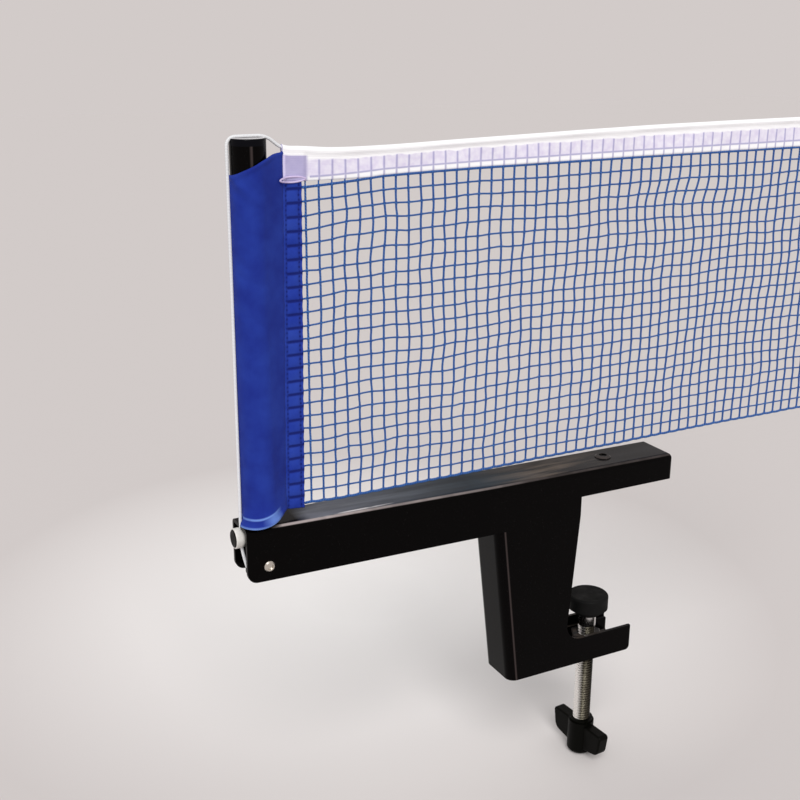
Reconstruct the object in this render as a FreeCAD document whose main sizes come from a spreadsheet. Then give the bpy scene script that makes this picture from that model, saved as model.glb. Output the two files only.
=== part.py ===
import FreeCAD, Part
import math
import os
import re
import Sketcher

# Table tennis net clamp with its post and the net's end, in millimetres, +Z up.
# The origin is the centre of the jaw pad's lower face, where the clamp stands on the table top.
# +X runs along the net towards the middle of the table, and +Y along the table's edge.
# Sketches of the plates and the net measure X from the plane of the table's edge instead:
# each finished piece is then moved by edge_to_origin.

SIZES = [
    # Places along the net, from the plane of the table's edge
    ("edge_to_origin", 23.5),
    ("screw_from_edge", 14.0),
    ("post_from_edge", 140.5),
    ("pad_rivet_from_edge", 17.4),
    # Arm: a channel of folded sheet, open below, with the upper jaw at its inner end
    ("sheet", 1.4),
    ("fold_radius", 2.2),
    ("arm_beyond_post", 8.5),
    ("jaw_reach", 48.2),
    ("jaw_width", 20.6),
    ("arm_end_width", 15.4),
    ("taper_start", 44.0),
    ("arm_top_tip", 11.7),
    ("arm_top_end", 13.0),
    ("flange_drop", 8.5),
    ("flange_lift", 0.2),
    ("throat_gap", 0.3),
    ("arm_corner_radius", 4.0),
    ("tip_corner_radius", 2.0),
    ("cord_slot_width", 2.0),
    ("post_hole_clearance", 0.15),
    # Column with the lower jaw's side plates, and the jaw's floor channel welded between them
    ("column_left_top", 41.7),
    ("column_left_low", 33.2),
    ("column_fold_radius", 4.0),
    ("lower_jaw_bottom", 80.2),
    ("throat_low", 4.9),
    ("throat_floor", 68.0),
    ("throat_radius", 8.0),
    ("lower_jaw_reach", 30.7),
    ("lower_tip_radius", 2.0),
    ("lower_channel_left", 28.5),
    ("lower_flange_height", 7.5),
    # Clamp screw, metric 8, with its nut
    ("screw_diameter", 7.8),
    ("running_clearance", 0.05),
    ("screw_hole", 8.6),
    ("nut_width", 13.0),
    ("nut_height", 6.5),
    ("nut_chamfer", 0.5),
    ("screw_shoulder", 68.3),
    ("pivot_neck_diameter", 4.6),
    ("pivot_head_diameter", 6.2),
    ("pivot_head_height", 4.0),
    ("bolt_head_width", 9.2),
    ("bolt_head_height", 4.0),
    ("bolt_head_from_knob_top", 10.0),
    # Swivel cup and pressure pad
    ("cup_bottom", 68.0),
    ("cup_neck_diameter", 8.0),
    ("cup_lip", 1.4),
    ("cup_flange_bottom", 58.0),
    ("cup_flange_diameter", 12.0),
    ("cup_flange_thickness", 1.4),
    ("pivot_play", 0.2),
    ("pad_diameter", 18.0),
    ("pad_bottom", 59.5),
    ("pad_neck_diameter", 11.5),
    ("pad_neck_bottom", 62.4),
    ("pad_top", 53.0),
    ("pad_edge_radius", 1.0),
    # Wing knob
    ("knob_top", 116.2),
    ("collar_diameter", 10.4),
    ("collar_height", 1.4),
    ("hub_diameter", 11.8),
    ("hub_height", 17.6),
    ("hub_edge_radius", 2.0),
    ("wing_span", 32.8),
    ("wing_low_span", 29.6),
    ("wing_thickness", 5.5),
    ("wing_top_drop", 2.6),
    ("wing_height", 10.4),
    ("wing_root_height", 12.2),
    ("wing_upper_radius", 1.6),
    ("wing_lower_radius", 4.0),
    ("wing_edge_radius", 0.8),
    ("knob_turn", 5.0),
    # How far a cutting shape runs past what it cuts
    ("cut_margin", 5.0),
    # Jaw pad and its rivet
    ("jaw_pad_length", 42.0),
    ("jaw_pad_side_gap", 0.3),
    ("jaw_pad_edge_radius", 1.0),
    ("pad_rivet_diameter", 3.5),
    ("pad_rivet_head", 7.0),
    ("pad_rivet_head_height", 1.0),
    ("pad_rivet_dimple", 3.4),
    ("pad_rivet_dimple_depth", 0.6),
    ("pad_rivet_tail", 6.6),
    ("pad_rivet_tail_height", 1.2),
    ("pad_rivet_grip", 5.0),
    ("pad_rivet_seat_gap", 0.06),
    ("pad_rivet_bevel", 0.8),
    ("rivet_hole_clearance", 0.05),
    # Post with its cap, foot plug and rivet
    ("post_diameter", 12.7),
    ("post_wall", 1.0),
    ("post_bottom", 7.5),
    ("post_top", 153.5),
    ("cap_height", 2.5),
    ("cap_edge_radius", 0.6),
    ("cap_spigot", 12.0),
    ("plug_clearance", 0.05),
    ("plug_height", 13.0),
    ("plug_set_in", 0.4),
    ("cord_groove_width", 1.5),
    ("cord_groove_depth", 0.2),
    ("post_rivet_drop", 2.6),
    ("post_rivet_diameter", 3.0),
    ("post_rivet_head", 4.2),
    ("post_rivet_head_height", 0.7),
    ("post_rivet_bore", 2.6),
    ("post_rivet_bore_depth", 0.6),
    ("post_rivet_bevel", 0.4),
    # Tension cord and its stop
    ("cord_diameter", 1.2),
    ("stop_diameter", 7.8),
    ("stop_length", 4.3),
    ("stop_proud", 2.4),
    ("stop_height", 7.6),
    ("stop_rim_radius", 0.3),
    ("stop_back_radius", 2.2),
    ("stop_pocket_diameter", 6.9),
    ("stop_pocket_depth", 1.8),
    ("stop_cord_hole", 1.6),
    ("cord_beyond_post", 8.0),
    ("stop_plug_proud", 0.3),
    ("stop_plug_bevel", 0.3),
    # Sleeve and hem
    ("sleeve_gap", 0.15),
    ("sleeve_thickness", 0.6),
    ("sleeve_bottom", 14.6),
    ("sleeve_top_outer", 141.5),
    ("sleeve_top_inner", 147.6),
    ("hem_gap", 0.05),
    ("hem_reach", 19.5),
    ("hem_thickness", 1.6),
    ("hem_bottom", 16.5),
    ("hem_top", 148.2),
    # Net panel, its top tape and its cords
    ("net_end", 142.0),
    ("mesh_thickness", 1.0),
    ("mesh_bar", 2.5),
    ("net_low_outer", 15.6),
    ("net_low_inner", 18.2),
    ("bottom_cord_diameter", 1.2),
    ("tape_from_post", 12.2),
    ("tape_thickness", 2.6),
    ("tape_top_outer", 150.2),
    ("tape_top_inner", 153.4),
    ("tape_width_outer", 12.4),
    ("tape_width_inner", 13.2),
    ("tape_cord_depth", 1.0),
    ("soft_gap", 0.3),
]

# The tension cord's points from the origin: along the tape's upper edge, out of its end, over the
# cap's two edges, down beside the post and through the cord stop to the cord's short tail.
CORD_POINTS = [(118.5, 0, 152.4), (-151.8, 0, 149.2), (-157.1, 0, 154.0), (-171.9, 0, 154.0),
               (-172.0, 0, 2.2), (-170.9, -2.6, -3.9)]
CORD_RADII = [2.0, 2.0, 1.9, 6.0]

# The openings in the mesh panel, along the net and up it
MESH_COLUMNS = 12
MESH_ROWS = 6

# How near counts as at a place, and the least volume that a cut has to take
NEAR = 0.05
LEAST_CUT = 0.1

doc = FreeCAD.newDocument("NetClamp")
sheet = doc.addObject("Spreadsheet::Sheet", "Sizes")
for row, (alias, value) in enumerate(SIZES, 1):
    sheet.set(f"A{row}", alias.replace("_", " "))
    sheet.set(f"B{row}", str(value))
    sheet.setAlias(f"B{row}", alias)
reader = doc.addObject("App::FeaturePython", "Reader")
reader.addProperty("App::PropertyFloat", "Value")
doc.recompute()
SIZE = dict(SIZES)
V = FreeCAD.Vector
PARTS = []


# Places that follow from the sizes, by names that the formulas below use
PLACES = {
    "stop_face": "(arm_reach + stop_proud)",
    "stop_cord": "(post_from_edge + cord_beyond_post)",
    "arm_reach": "(post_from_edge + arm_beyond_post)",
    "tape_start": "(post_from_edge - tape_from_post)",
    "hem_end": "(post_from_edge - hem_reach)",
    "tape_low_outer": "(tape_top_outer - tape_width_outer)",
    "tape_low_inner": "(tape_top_inner - tape_width_inner)",
}


def formula(text):
    """Turns the plain names of places and sizes into references to the sheet."""
    for name, place in PLACES.items():
        text = re.sub(rf"\b{name}\b", place, text)
    return re.sub(r"[a-z_]+", lambda m: "Sizes." + m[0] if m[0] in SIZE else m[0], text)


def bind(thing, **formulas):
    """Ties properties to sizes; a double underscore stands for the dot in a path."""
    for path, text in formulas.items():
        thing.setExpression(path.replace("__", "."), formula(text))


def new_body(name):
    return doc.addObject("PartDesign::Body", name)


def new_sketch(body, role, lift=None):
    """A sketch on one of the body's own origin planes, moved along its normal by lift."""
    sketch = body.newObject("Sketcher::SketchObject", body.Name + "Sketch")
    plane = next(f for f in body.Origin.OriginFeatures if f.Role == role)
    sketch.AttachmentSupport = (plane, [""])
    sketch.MapMode = "FlatFace"
    if lift:
        bind(sketch, AttachmentOffset__Base__z=lift)
    return sketch


def tie_point(sketch, edge, end, across, up):
    """Fixes one point of the sketch at two formulas."""
    for kind, text in (("DistanceX", across), ("DistanceY", up)):
        number = sketch.addConstraint(Sketcher.Constraint(kind, -1, 1, edge, end, 1.0))
        sketch.setExpression(f"Constraints[{number}]", formula(text))


def number_of(text):
    """The value that a formula has now, to start a sketch near its solution."""
    reader.setExpression("Value", formula(text))
    reader.recompute()
    return reader.Value


def polygon(sketch, corners):
    """A closed outline of straight lines through corners given as pairs of formulas."""
    points = [V(number_of(a), number_of(b), 0) for a, b in corners]
    first = sketch.GeometryCount
    for here, there in zip(points, points[1:] + points[:1]):
        sketch.addGeometry(Part.LineSegment(here, there))
    for i in range(len(points)):
        after = first + (i + 1) % len(points)
        sketch.addConstraint(Sketcher.Constraint("Coincident", first + i, 2, after, 1))
    for i, (across, up) in enumerate(corners):
        tie_point(sketch, first + i, 1, across, up)


def circle(sketch, across, up, radius):
    """A circle whose centre and radius are formulas."""
    centre = V(number_of(across), number_of(up), 0)
    edge = sketch.addGeometry(Part.Circle(centre, V(0, 0, 1), number_of(radius)))
    tie_point(sketch, edge, 3, across, up)
    number = sketch.addConstraint(Sketcher.Constraint("Radius", edge, number_of(radius)))
    sketch.setExpression(f"Constraints[{number}]", formula(radius))


def pad(body, sketch, length, both_ways=False, back=False):
    feature = body.newObject("PartDesign::Pad", body.Name + "Pad")
    feature.Profile = sketch
    feature.SideType = "Symmetric" if both_ways else "One side"
    feature.Reversed = back
    bind(feature, Length=length)
    doc.recompute()
    return feature


def cut_through(body, sketch):
    """A pocket through everything, both ways from its sketch."""
    before = body.Tip.Shape.Volume
    feature = body.newObject("PartDesign::Pocket", body.Name + "Pocket")
    feature.Profile = sketch
    feature.SideType = "Symmetric"
    feature.Type = "ThroughAll"
    doc.recompute()
    if feature.Shape.Volume > before - LEAST_CUT:
        raise RuntimeError(feature.Name + " takes nothing away")
    return feature


def cut_down(body, sketch, depth):
    """A pocket of a given depth below its sketch."""
    feature = body.newObject("PartDesign::Pocket", body.Name + "Room")
    feature.Profile = sketch
    bind(feature, Length=depth)
    doc.recompute()


def revolve(body, outline):
    """Turns an outline of radius and height formulas about the body's own Z axis."""
    sketch = new_sketch(body, "XZ_Plane")
    polygon(sketch, outline)
    feature = body.newObject("PartDesign::Revolution", body.Name + "Turned")
    feature.Profile = sketch
    feature.ReferenceAxis = (sketch, ["V_Axis"])
    feature.Angle = 360.0
    doc.recompute()
    return feature


def fillet(body, radius, wanted):
    """Rounds the edges of the body's last feature that the rule picks."""
    base = body.Tip
    names = [f"Edge{i}" for i, edge in enumerate(base.Shape.Edges, 1) if wanted(edge)]
    if not names:
        raise RuntimeError("no edge to round on " + body.Name)
    feature = body.newObject("PartDesign::Fillet", body.Name + "Fillet")
    feature.Base = (base, names)
    bind(feature, Radius=radius)
    doc.recompute()
    return feature


def boolean(kind, name, base, tool):
    feature = doc.addObject("Part::" + kind, name)
    feature.Base = base
    feature.Tool = tool
    doc.recompute()
    return feature


def finish(name, thing, x="-edge_to_origin", z=None):
    """Names a finished piece and moves it from the table's edge to the part's frame."""
    thing.Label = name
    bind(thing, Placement__Base__x=x)
    if z:
        bind(thing, Placement__Base__z=z)
    PARTS.append((name, thing))
    return thing


def at(value, place):
    """Whether a coordinate or a radius of a solid is the one that a rule looks for."""
    return abs(value - place) < NEAR


def direction(edge):
    return edge.tangentAt(edge.FirstParameter)


def along(edge, axis, least=0.99):
    return edge.Curve.TypeId == "Part::GeomLine" and abs(getattr(direction(edge), axis)) > least


def is_ring(edge, radius, height):
    """A circle of the given radius, at the given height on the body's own axis."""
    round_edge = edge.Curve.TypeId == "Part::GeomCircle" and at(edge.Curve.Radius, radius)
    return round_edge and at(edge.CenterOfMass.z, height)


def arm_top(x):
    """Height of the arm's sloping top face at x from the table's edge."""
    return f"(arm_top_tip + (arm_top_end - arm_top_tip) * (jaw_reach - ({x})) / (arm_reach + jaw_reach))"


def column_left(drop):
    """How far out the column's leaning web stands, at drop below the table top."""
    lean = "(column_left_top - column_left_low) / (lower_jaw_bottom - flange_drop)"
    return f"(column_left_top - (({drop}) - flange_drop) * {lean})"


def net_line(outer, inner, x):
    """Height of one of the net's slowly rising lines at x from the table's edge."""
    return f"({outer} + ({inner} - {outer}) * (({x}) + tape_start) / (net_end + tape_start))"


# Arm channel: side outline through the full width, narrowed in plan, then hollowed from below
def arm_plan(body, half_jaw, half_end):
    """Cuts the two wedges that narrow the arm between the column and its outer end."""
    sketch = new_sketch(body, "XY_Plane")
    past = "(arm_reach + cut_margin)"
    beside = f"({half_jaw} + cut_margin)"
    taper = f"({half_jaw} - {half_end}) / (arm_reach - taper_start)"
    narrowed = f"({half_end} - cut_margin * {taper})"
    for side in ("", "-"):
        polygon(sketch, [("-taper_start", side + half_jaw), (f"-{past}", side + narrowed),
                         (f"-{past}", side + beside), ("-taper_start", side + beside)])
    cut_through(body, sketch)


def on_arm_top(edge, drop):
    """An edge that runs along the sloping top face, sunk by drop."""
    if not along(edge, "x", 0.9):
        return False
    middle = edge.CenterOfMass
    rise = (SIZE["arm_top_end"] - SIZE["arm_top_tip"]) / (number_of("arm_reach") + SIZE["jaw_reach"])
    top = SIZE["arm_top_tip"] + rise * (SIZE["jaw_reach"] - middle.x)
    return at(middle.z, top - drop)


arm = new_body("ArmOuter")
side = new_sketch(arm, "XZ_Plane")
polygon(side, [("-arm_reach", "arm_top_end"), ("jaw_reach", "arm_top_tip"), ("jaw_reach", "flange_lift"),
               ("-throat_gap", "flange_lift"), ("-throat_gap", "-flange_drop"),
               ("-arm_reach", "-flange_drop")])
pad(arm, side, "jaw_width", both_ways=True)
fillet(arm, "arm_corner_radius", lambda e: along(e, "y") and at(e.CenterOfMass.x, -number_of("arm_reach"))
       and e.CenterOfMass.z < 0)
arm_plan(arm, "(jaw_width / 2)", "(arm_end_width / 2)")
fillet(arm, "tip_corner_radius", lambda e: along(e, "z") and at(e.CenterOfMass.x, SIZE["jaw_reach"]))
fillet(arm, "fold_radius", lambda e: on_arm_top(e, 0.0))
holes = new_sketch(arm, "XY_Plane")
circle(holes, "-post_from_edge", "0", "post_diameter / 2 + post_hole_clearance")
circle(holes, "pad_rivet_from_edge", "0", "pad_rivet_diameter / 2 + rivet_hole_clearance")
cut_through(arm, holes)
slot = new_sketch(arm, "XY_Plane")
polygon(slot, [("-post_from_edge", "cord_slot_width / 2"), ("-post_from_edge", "-cord_slot_width / 2"),
               ("-(arm_reach + cut_margin)", "-cord_slot_width / 2"),
               ("-(arm_reach + cut_margin)", "cord_slot_width / 2")])
cut_through(arm, slot)
cross = new_sketch(arm, "XZ_Plane")
circle(cross, "-post_from_edge", "-post_rivet_drop", "post_rivet_diameter / 2 + rivet_hole_clearance")
cut_through(arm, cross)

hollow = new_body("ArmHollow")
side = new_sketch(hollow, "XZ_Plane")
PAST_END = "-(arm_reach + cut_margin)"
PAST_TIP = "(jaw_reach + cut_margin)"
polygon(side, [(PAST_END, arm_top(PAST_END) + " - sheet"), (PAST_TIP, arm_top(PAST_TIP) + " - sheet"),
               (PAST_TIP, "-flange_drop - cut_margin"), (PAST_END, "-flange_drop - cut_margin")])
pad(hollow, side, "jaw_width - 2 * sheet", both_ways=True)
arm_plan(hollow, "(jaw_width / 2 - sheet)", "(arm_end_width / 2 - sheet)")
fillet(hollow, "fold_radius - sheet", lambda e: on_arm_top(e, SIZE["sheet"]))
finish("arm_channel", boolean("Cut", "ArmChannel", arm, hollow))

# Column: a leaning web between two L-shaped plates, which are the sides of the lower jaw too. Its
# upper edges are welded to the arm's flanges.
column = new_body("ColumnOuter")
side = new_sketch(column, "XZ_Plane")
polygon(side, [("-" + column_left("flange_drop"), "-flange_drop"), ("-throat_gap", "-flange_drop"),
               ("-throat_low", "-throat_floor"), ("lower_jaw_reach", "-throat_floor"),
               ("lower_jaw_reach", "-lower_jaw_bottom"),
               ("-" + column_left("lower_jaw_bottom"), "-lower_jaw_bottom")])
pad(column, side, "jaw_width", both_ways=True)


def at_lower_tip(edge):
    """The lower corner of the lower jaw's tip, across the jaw."""
    low = at(edge.CenterOfMass.z, -SIZE["lower_jaw_bottom"])
    return along(edge, "y") and low and at(edge.CenterOfMass.x, SIZE["lower_jaw_reach"])


fillet(column, "throat_radius", lambda e: along(e, "y") and at(e.CenterOfMass.x, -SIZE["throat_low"])
       and at(e.CenterOfMass.z, -SIZE["throat_floor"]))
fillet(column, "lower_tip_radius", at_lower_tip)
fillet(column, "column_fold_radius", lambda e: along(e, "z", 0.9)
       and e.CenterOfMass.x < -SIZE["column_left_low"])
inside = new_body("ColumnHollow")
side = new_sketch(inside, "XZ_Plane")
ABOVE = "(cut_margin - flange_drop)"
BELOW = "(lower_jaw_bottom + cut_margin)"
PAST_JAW = "(lower_jaw_reach + cut_margin)"
polygon(side, [(f"sheet - {column_left('-' + ABOVE)}", ABOVE), (PAST_JAW, ABOVE), (PAST_JAW, f"-{BELOW}"),
               (f"sheet - {column_left(BELOW)}", f"-{BELOW}")])
pad(inside, side, "jaw_width - 2 * sheet", both_ways=True)
fillet(inside, "column_fold_radius - sheet", lambda e: along(e, "z", 0.9) and e.CenterOfMass.x < 0)
finish("column_channel", boolean("Cut", "ColumnChannel", column, inside))

# Floor channel of the lower jaw, between the side plates, which carries the nut
lower = new_body("LowerOuter")
side = new_sketch(lower, "XZ_Plane")
FLANGE_TOP = "(lower_jaw_bottom - lower_flange_height)"
polygon(side, [("-lower_channel_left", "-lower_jaw_bottom"), ("lower_jaw_reach", "-lower_jaw_bottom"),
               ("lower_jaw_reach", "-" + FLANGE_TOP), ("-lower_channel_left", "-" + FLANGE_TOP)])
pad(lower, side, "jaw_width - 2 * sheet", both_ways=True)
fillet(lower, "lower_tip_radius", at_lower_tip)
floor_hole = new_sketch(lower, "XY_Plane")
circle(floor_hole, "screw_from_edge", "0", "screw_hole / 2")
cut_through(lower, floor_hole)
inside = new_body("LowerHollow")
side = new_sketch(inside, "XZ_Plane")
PAST_BACK = "-(lower_channel_left + cut_margin)"
polygon(side, [(PAST_BACK, "-lower_jaw_bottom + sheet"), (PAST_JAW, "-lower_jaw_bottom + sheet"),
               (PAST_JAW, "-throat_floor"), (PAST_BACK, "-throat_floor")])
pad(inside, side, "jaw_width - 4 * sheet", both_ways=True)
fillet(inside, "fold_radius - sheet", lambda e: along(e, "x")
       and at(e.CenterOfMass.z, SIZE["sheet"] - SIZE["lower_jaw_bottom"]))
finish("lower_jaw_channel", boolean("Cut", "LowerJawChannel", lower, inside))


# Hexagons of the nut and of the screw's head
def hexagon(sketch, width):
    corner = f"{width} / cos(30) / 2"
    polygon(sketch, [(f"{corner} * cos({60 * i})", f"{corner} * sin({60 * i})") for i in range(6)])


nut = new_body("ClampNut")
face = new_sketch(nut, "XY_Plane")
hexagon(face, "nut_width")
circle(face, "0", "0", "screw_diameter / 2 + running_clearance")
blank = pad(nut, face, "nut_height")
chamfer = nut.newObject("PartDesign::Chamfer", "NutChamfer")
chamfer.Base = (blank, [f"Edge{i}" for i, e in enumerate(blank.Shape.Edges, 1)
                        if at(e.CenterOfMass.z, SIZE["nut_height"]) and e.Curve.TypeId == "Part::GeomLine"])
bind(chamfer, Size="nut_chamfer")
finish("clamp_nut", nut, "screw_from_edge - edge_to_origin", "-lower_jaw_bottom + sheet")


def turn_with_knob(body):
    """Turns the screw's pieces about the screw's axis to where the knob stands at rest."""
    body.Placement = FreeCAD.Placement(V(), FreeCAD.Rotation(V(0, 0, 1), 1))
    bind(body, Placement__Rotation__Angle="knob_turn * 1 deg")


# Clamp screw: shank, pivot neck and head above, hexagon head below inside the knob
screw = new_body("ClampScrew")
HEAD_TOP = "(knob_top + bolt_head_from_knob_top)"
PIVOT_LOW = "(cup_bottom - cup_lip - pivot_play)"
revolve(screw, [("0", f"-{HEAD_TOP}"), ("screw_diameter / 2", f"-{HEAD_TOP}"),
                ("screw_diameter / 2", "-screw_shoulder"), ("pivot_neck_diameter / 2", "-screw_shoulder"),
                ("pivot_neck_diameter / 2", f"-{PIVOT_LOW}"), ("pivot_head_diameter / 2", f"-{PIVOT_LOW}"),
                ("pivot_head_diameter / 2", f"-{PIVOT_LOW} + pivot_head_height"),
                ("0", f"-{PIVOT_LOW} + pivot_head_height")])
head = new_sketch(screw, "XY_Plane", f"-{HEAD_TOP}")
hexagon(head, "bolt_head_width")
pad(screw, head, "bolt_head_height", back=True)
turn_with_knob(screw)
finish("clamp_screw", screw, "screw_from_edge - edge_to_origin")

# Swivel cup and the rubber pad that snaps over its flange
cup = new_body("SwivelCup")
CUP_TOP = "(cup_flange_bottom - cup_flange_thickness)"
PIVOT_ROOM = f"(-{PIVOT_LOW} + pivot_head_height + pivot_play)"
NECK_ROOM = "(pivot_neck_diameter / 2 + running_clearance)"
HEAD_ROOM = "(pivot_head_diameter / 2 + running_clearance)"
LIP_TOP = "(cup_lip - cup_bottom)"
revolve(cup, [(NECK_ROOM, "-cup_bottom"), ("cup_neck_diameter / 2", "-cup_bottom"),
              ("cup_neck_diameter / 2", "-cup_flange_bottom"),
              ("cup_flange_diameter / 2", "-cup_flange_bottom"),
              ("cup_flange_diameter / 2", f"-{CUP_TOP}"), ("0", f"-{CUP_TOP}"), ("0", PIVOT_ROOM),
              (HEAD_ROOM, PIVOT_ROOM), (HEAD_ROOM, LIP_TOP), (NECK_ROOM, LIP_TOP)])
finish("swivel_cup", cup, "screw_from_edge - edge_to_origin")

rubber = new_body("PressurePad")
revolve(rubber, [("cup_neck_diameter / 2", "-pad_neck_bottom"),
                 ("pad_neck_diameter / 2", "-pad_neck_bottom"),
                 ("pad_neck_diameter / 2", "-pad_bottom"), ("pad_diameter / 2", "-pad_bottom"),
                 ("pad_diameter / 2", "-pad_top"), ("0", "-pad_top"), ("0", f"-{CUP_TOP}"),
                 ("cup_flange_diameter / 2", f"-{CUP_TOP}"),
                 ("cup_flange_diameter / 2", "-cup_flange_bottom"),
                 ("cup_neck_diameter / 2", "-cup_flange_bottom")])
fillet(rubber, "pad_edge_radius", lambda e: is_ring(e, SIZE["pad_diameter"] / 2, -SIZE["pad_top"]))
finish("pressure_pad", rubber, "screw_from_edge - edge_to_origin")

# Wing knob: hub and collar, two wings, and the room that is moulded round the screw's head
knob = new_body("WingKnob")
wings = new_sketch(knob, "YZ_Plane")
WING_LOW = "(wing_top_drop + wing_height)"
ROOT_LOW = "(wing_top_drop + wing_root_height)"
polygon(wings, [("-wing_span / 2", "-wing_top_drop"), ("wing_span / 2", "-wing_top_drop"),
                ("wing_low_span / 2", f"-{WING_LOW}"), ("hub_diameter / 2", f"-{ROOT_LOW}"),
                ("-hub_diameter / 2", f"-{ROOT_LOW}"), ("-wing_low_span / 2", f"-{WING_LOW}")])
pad(knob, wings, "wing_thickness", both_ways=True)
for radius, span, drop in (("wing_upper_radius", "wing_span", "wing_top_drop"),
                           ("wing_lower_radius", "wing_low_span", WING_LOW)):
    fillet(knob, radius, lambda e: along(e, "x") and at(e.CenterOfMass.z, -number_of(drop))
           and at(abs(e.CenterOfMass.y), SIZE[span] / 2))
fillet(knob, "wing_edge_radius", lambda e: at(abs(e.CenterOfMass.x), SIZE["wing_thickness"] / 2)
       and not along(e, "x"))
revolve(knob, [("0", "0"), ("collar_diameter / 2", "0"), ("collar_diameter / 2", "-collar_height"),
               ("hub_diameter / 2", "-collar_height"), ("hub_diameter / 2", "-hub_height"),
               ("0", "-hub_height")])
fillet(knob, "hub_edge_radius", lambda e: is_ring(e, SIZE["hub_diameter"] / 2, -SIZE["hub_height"]))
shank_room = new_sketch(knob, "XY_Plane")
circle(shank_room, "0", "0", "screw_diameter / 2")
cut_down(knob, shank_room, "bolt_head_from_knob_top")
head_room = new_sketch(knob, "XY_Plane", "-bolt_head_from_knob_top")
hexagon(head_room, "bolt_head_width")
cut_down(knob, head_room, "bolt_head_height")
turn_with_knob(knob)
finish("wing_knob", knob, "screw_from_edge - edge_to_origin", "-knob_top")

# Jaw pad: a rubber block that fills the jaw and is pushed over the rivet's tail
rubber = new_body("JawPad")
side = new_sketch(rubber, "XZ_Plane")
PAD_START = "(edge_to_origin - jaw_pad_length / 2)"
PAD_END = "(edge_to_origin + jaw_pad_length / 2)"
polygon(side, [(PAD_START, "0"), (PAD_END, "0"), (PAD_END, arm_top(PAD_END) + " - sheet"),
               (PAD_START, arm_top(PAD_START) + " - sheet")])
pad(rubber, side, "jaw_width - 2 * sheet - 2 * jaw_pad_side_gap", both_ways=True)
fillet(rubber, "jaw_pad_edge_radius", lambda e: along(e, "x") and e.CenterOfMass.z > NEAR)
room = new_body("JawPadRoom")
TAIL_TOP = "(pad_rivet_grip + sheet)"
TAIL_LOW = "(pad_rivet_grip + sheet + pad_rivet_tail_height)"
SHANK_ROOM = "(pad_rivet_diameter / 2 + rivet_hole_clearance)"
TAIL_ROOM = "(pad_rivet_tail / 2 + rivet_hole_clearance)"
revolve(room, [("0", "cut_margin"), (SHANK_ROOM, "cut_margin"), (SHANK_ROOM, f"-{TAIL_TOP}"),
               (TAIL_ROOM, f"-{TAIL_TOP}"), (TAIL_ROOM, f"-{TAIL_LOW}"), ("0", f"-{TAIL_LOW}")])
bind(room, Placement__Base__x="pad_rivet_from_edge", Placement__Base__z=arm_top("pad_rivet_from_edge"))
finish("jaw_pad", boolean("Cut", "JawPadCut", rubber, room))

# Rivet of the jaw pad, with its dimpled head on the arm's top face
rivet = new_body("PadRivet")
revolve(rivet, [("0", "pad_rivet_head_height - pad_rivet_dimple_depth"),
                ("pad_rivet_dimple / 2", "pad_rivet_head_height - pad_rivet_dimple_depth"),
                ("pad_rivet_dimple / 2", "pad_rivet_head_height"),
                ("pad_rivet_head / 2 - pad_rivet_bevel", "pad_rivet_head_height"),
                ("pad_rivet_head / 2", "pad_rivet_head_height / 3"),
                ("pad_rivet_head / 2", "pad_rivet_seat_gap"),
                ("pad_rivet_diameter / 2", "pad_rivet_seat_gap"),
                ("pad_rivet_diameter / 2", f"-{TAIL_TOP}"), ("pad_rivet_tail / 2", f"-{TAIL_TOP}"),
                ("pad_rivet_tail / 2", f"-{TAIL_LOW}"), ("0", f"-{TAIL_LOW}")])
finish("pad_rivet", rivet, "pad_rivet_from_edge - edge_to_origin", arm_top("pad_rivet_from_edge"))


# Post: tube with a push-in cap above and a foot plug below, riveted across the arm's flanges
def drill_for_rivet(body):
    sketch = new_sketch(body, "XZ_Plane")
    circle(sketch, "0", "-post_rivet_drop", "post_rivet_diameter / 2 + rivet_hole_clearance")
    cut_through(body, sketch)


POST_X = "-post_from_edge - edge_to_origin"
PLUG_RADIUS = "(post_diameter / 2 - post_wall - plug_clearance)"
tube = new_body("PostTube")
CAP_LOW = "(post_top - cap_height)"
revolve(tube, [("post_diameter / 2 - post_wall", "-post_bottom"), ("post_diameter / 2", "-post_bottom"),
               ("post_diameter / 2", CAP_LOW), ("post_diameter / 2 - post_wall", CAP_LOW)])
drill_for_rivet(tube)
finish("post_tube", tube, POST_X)

plug = new_body("PostFootPlug")
PLUG_LOW = "(plug_set_in - post_bottom)"
revolve(plug, [("0", PLUG_LOW), (PLUG_RADIUS, PLUG_LOW), (PLUG_RADIUS, f"{PLUG_LOW} + plug_height"),
               ("0", f"{PLUG_LOW} + plug_height")])
drill_for_rivet(plug)
finish("post_foot_plug", plug, POST_X)

cap = new_body("PostCap")
revolve(cap, [("0", "post_top"), ("post_diameter / 2", "post_top"), ("post_diameter / 2", CAP_LOW),
              (PLUG_RADIUS, CAP_LOW), (PLUG_RADIUS, f"{CAP_LOW} - cap_spigot"),
              ("0", f"{CAP_LOW} - cap_spigot")])
fillet(cap, "cap_edge_radius", lambda e: is_ring(e, SIZE["post_diameter"] / 2, SIZE["post_top"]))
groove = new_sketch(cap, "YZ_Plane")
polygon(groove, [("-cord_groove_width / 2", "post_top - cord_groove_depth"),
                 ("cord_groove_width / 2", "post_top - cord_groove_depth"),
                 ("cord_groove_width / 2", "post_top + cut_margin"),
                 ("-cord_groove_width / 2", "post_top + cut_margin")])
cut_through(cap, groove)
finish("post_cap", cap, POST_X)

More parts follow.
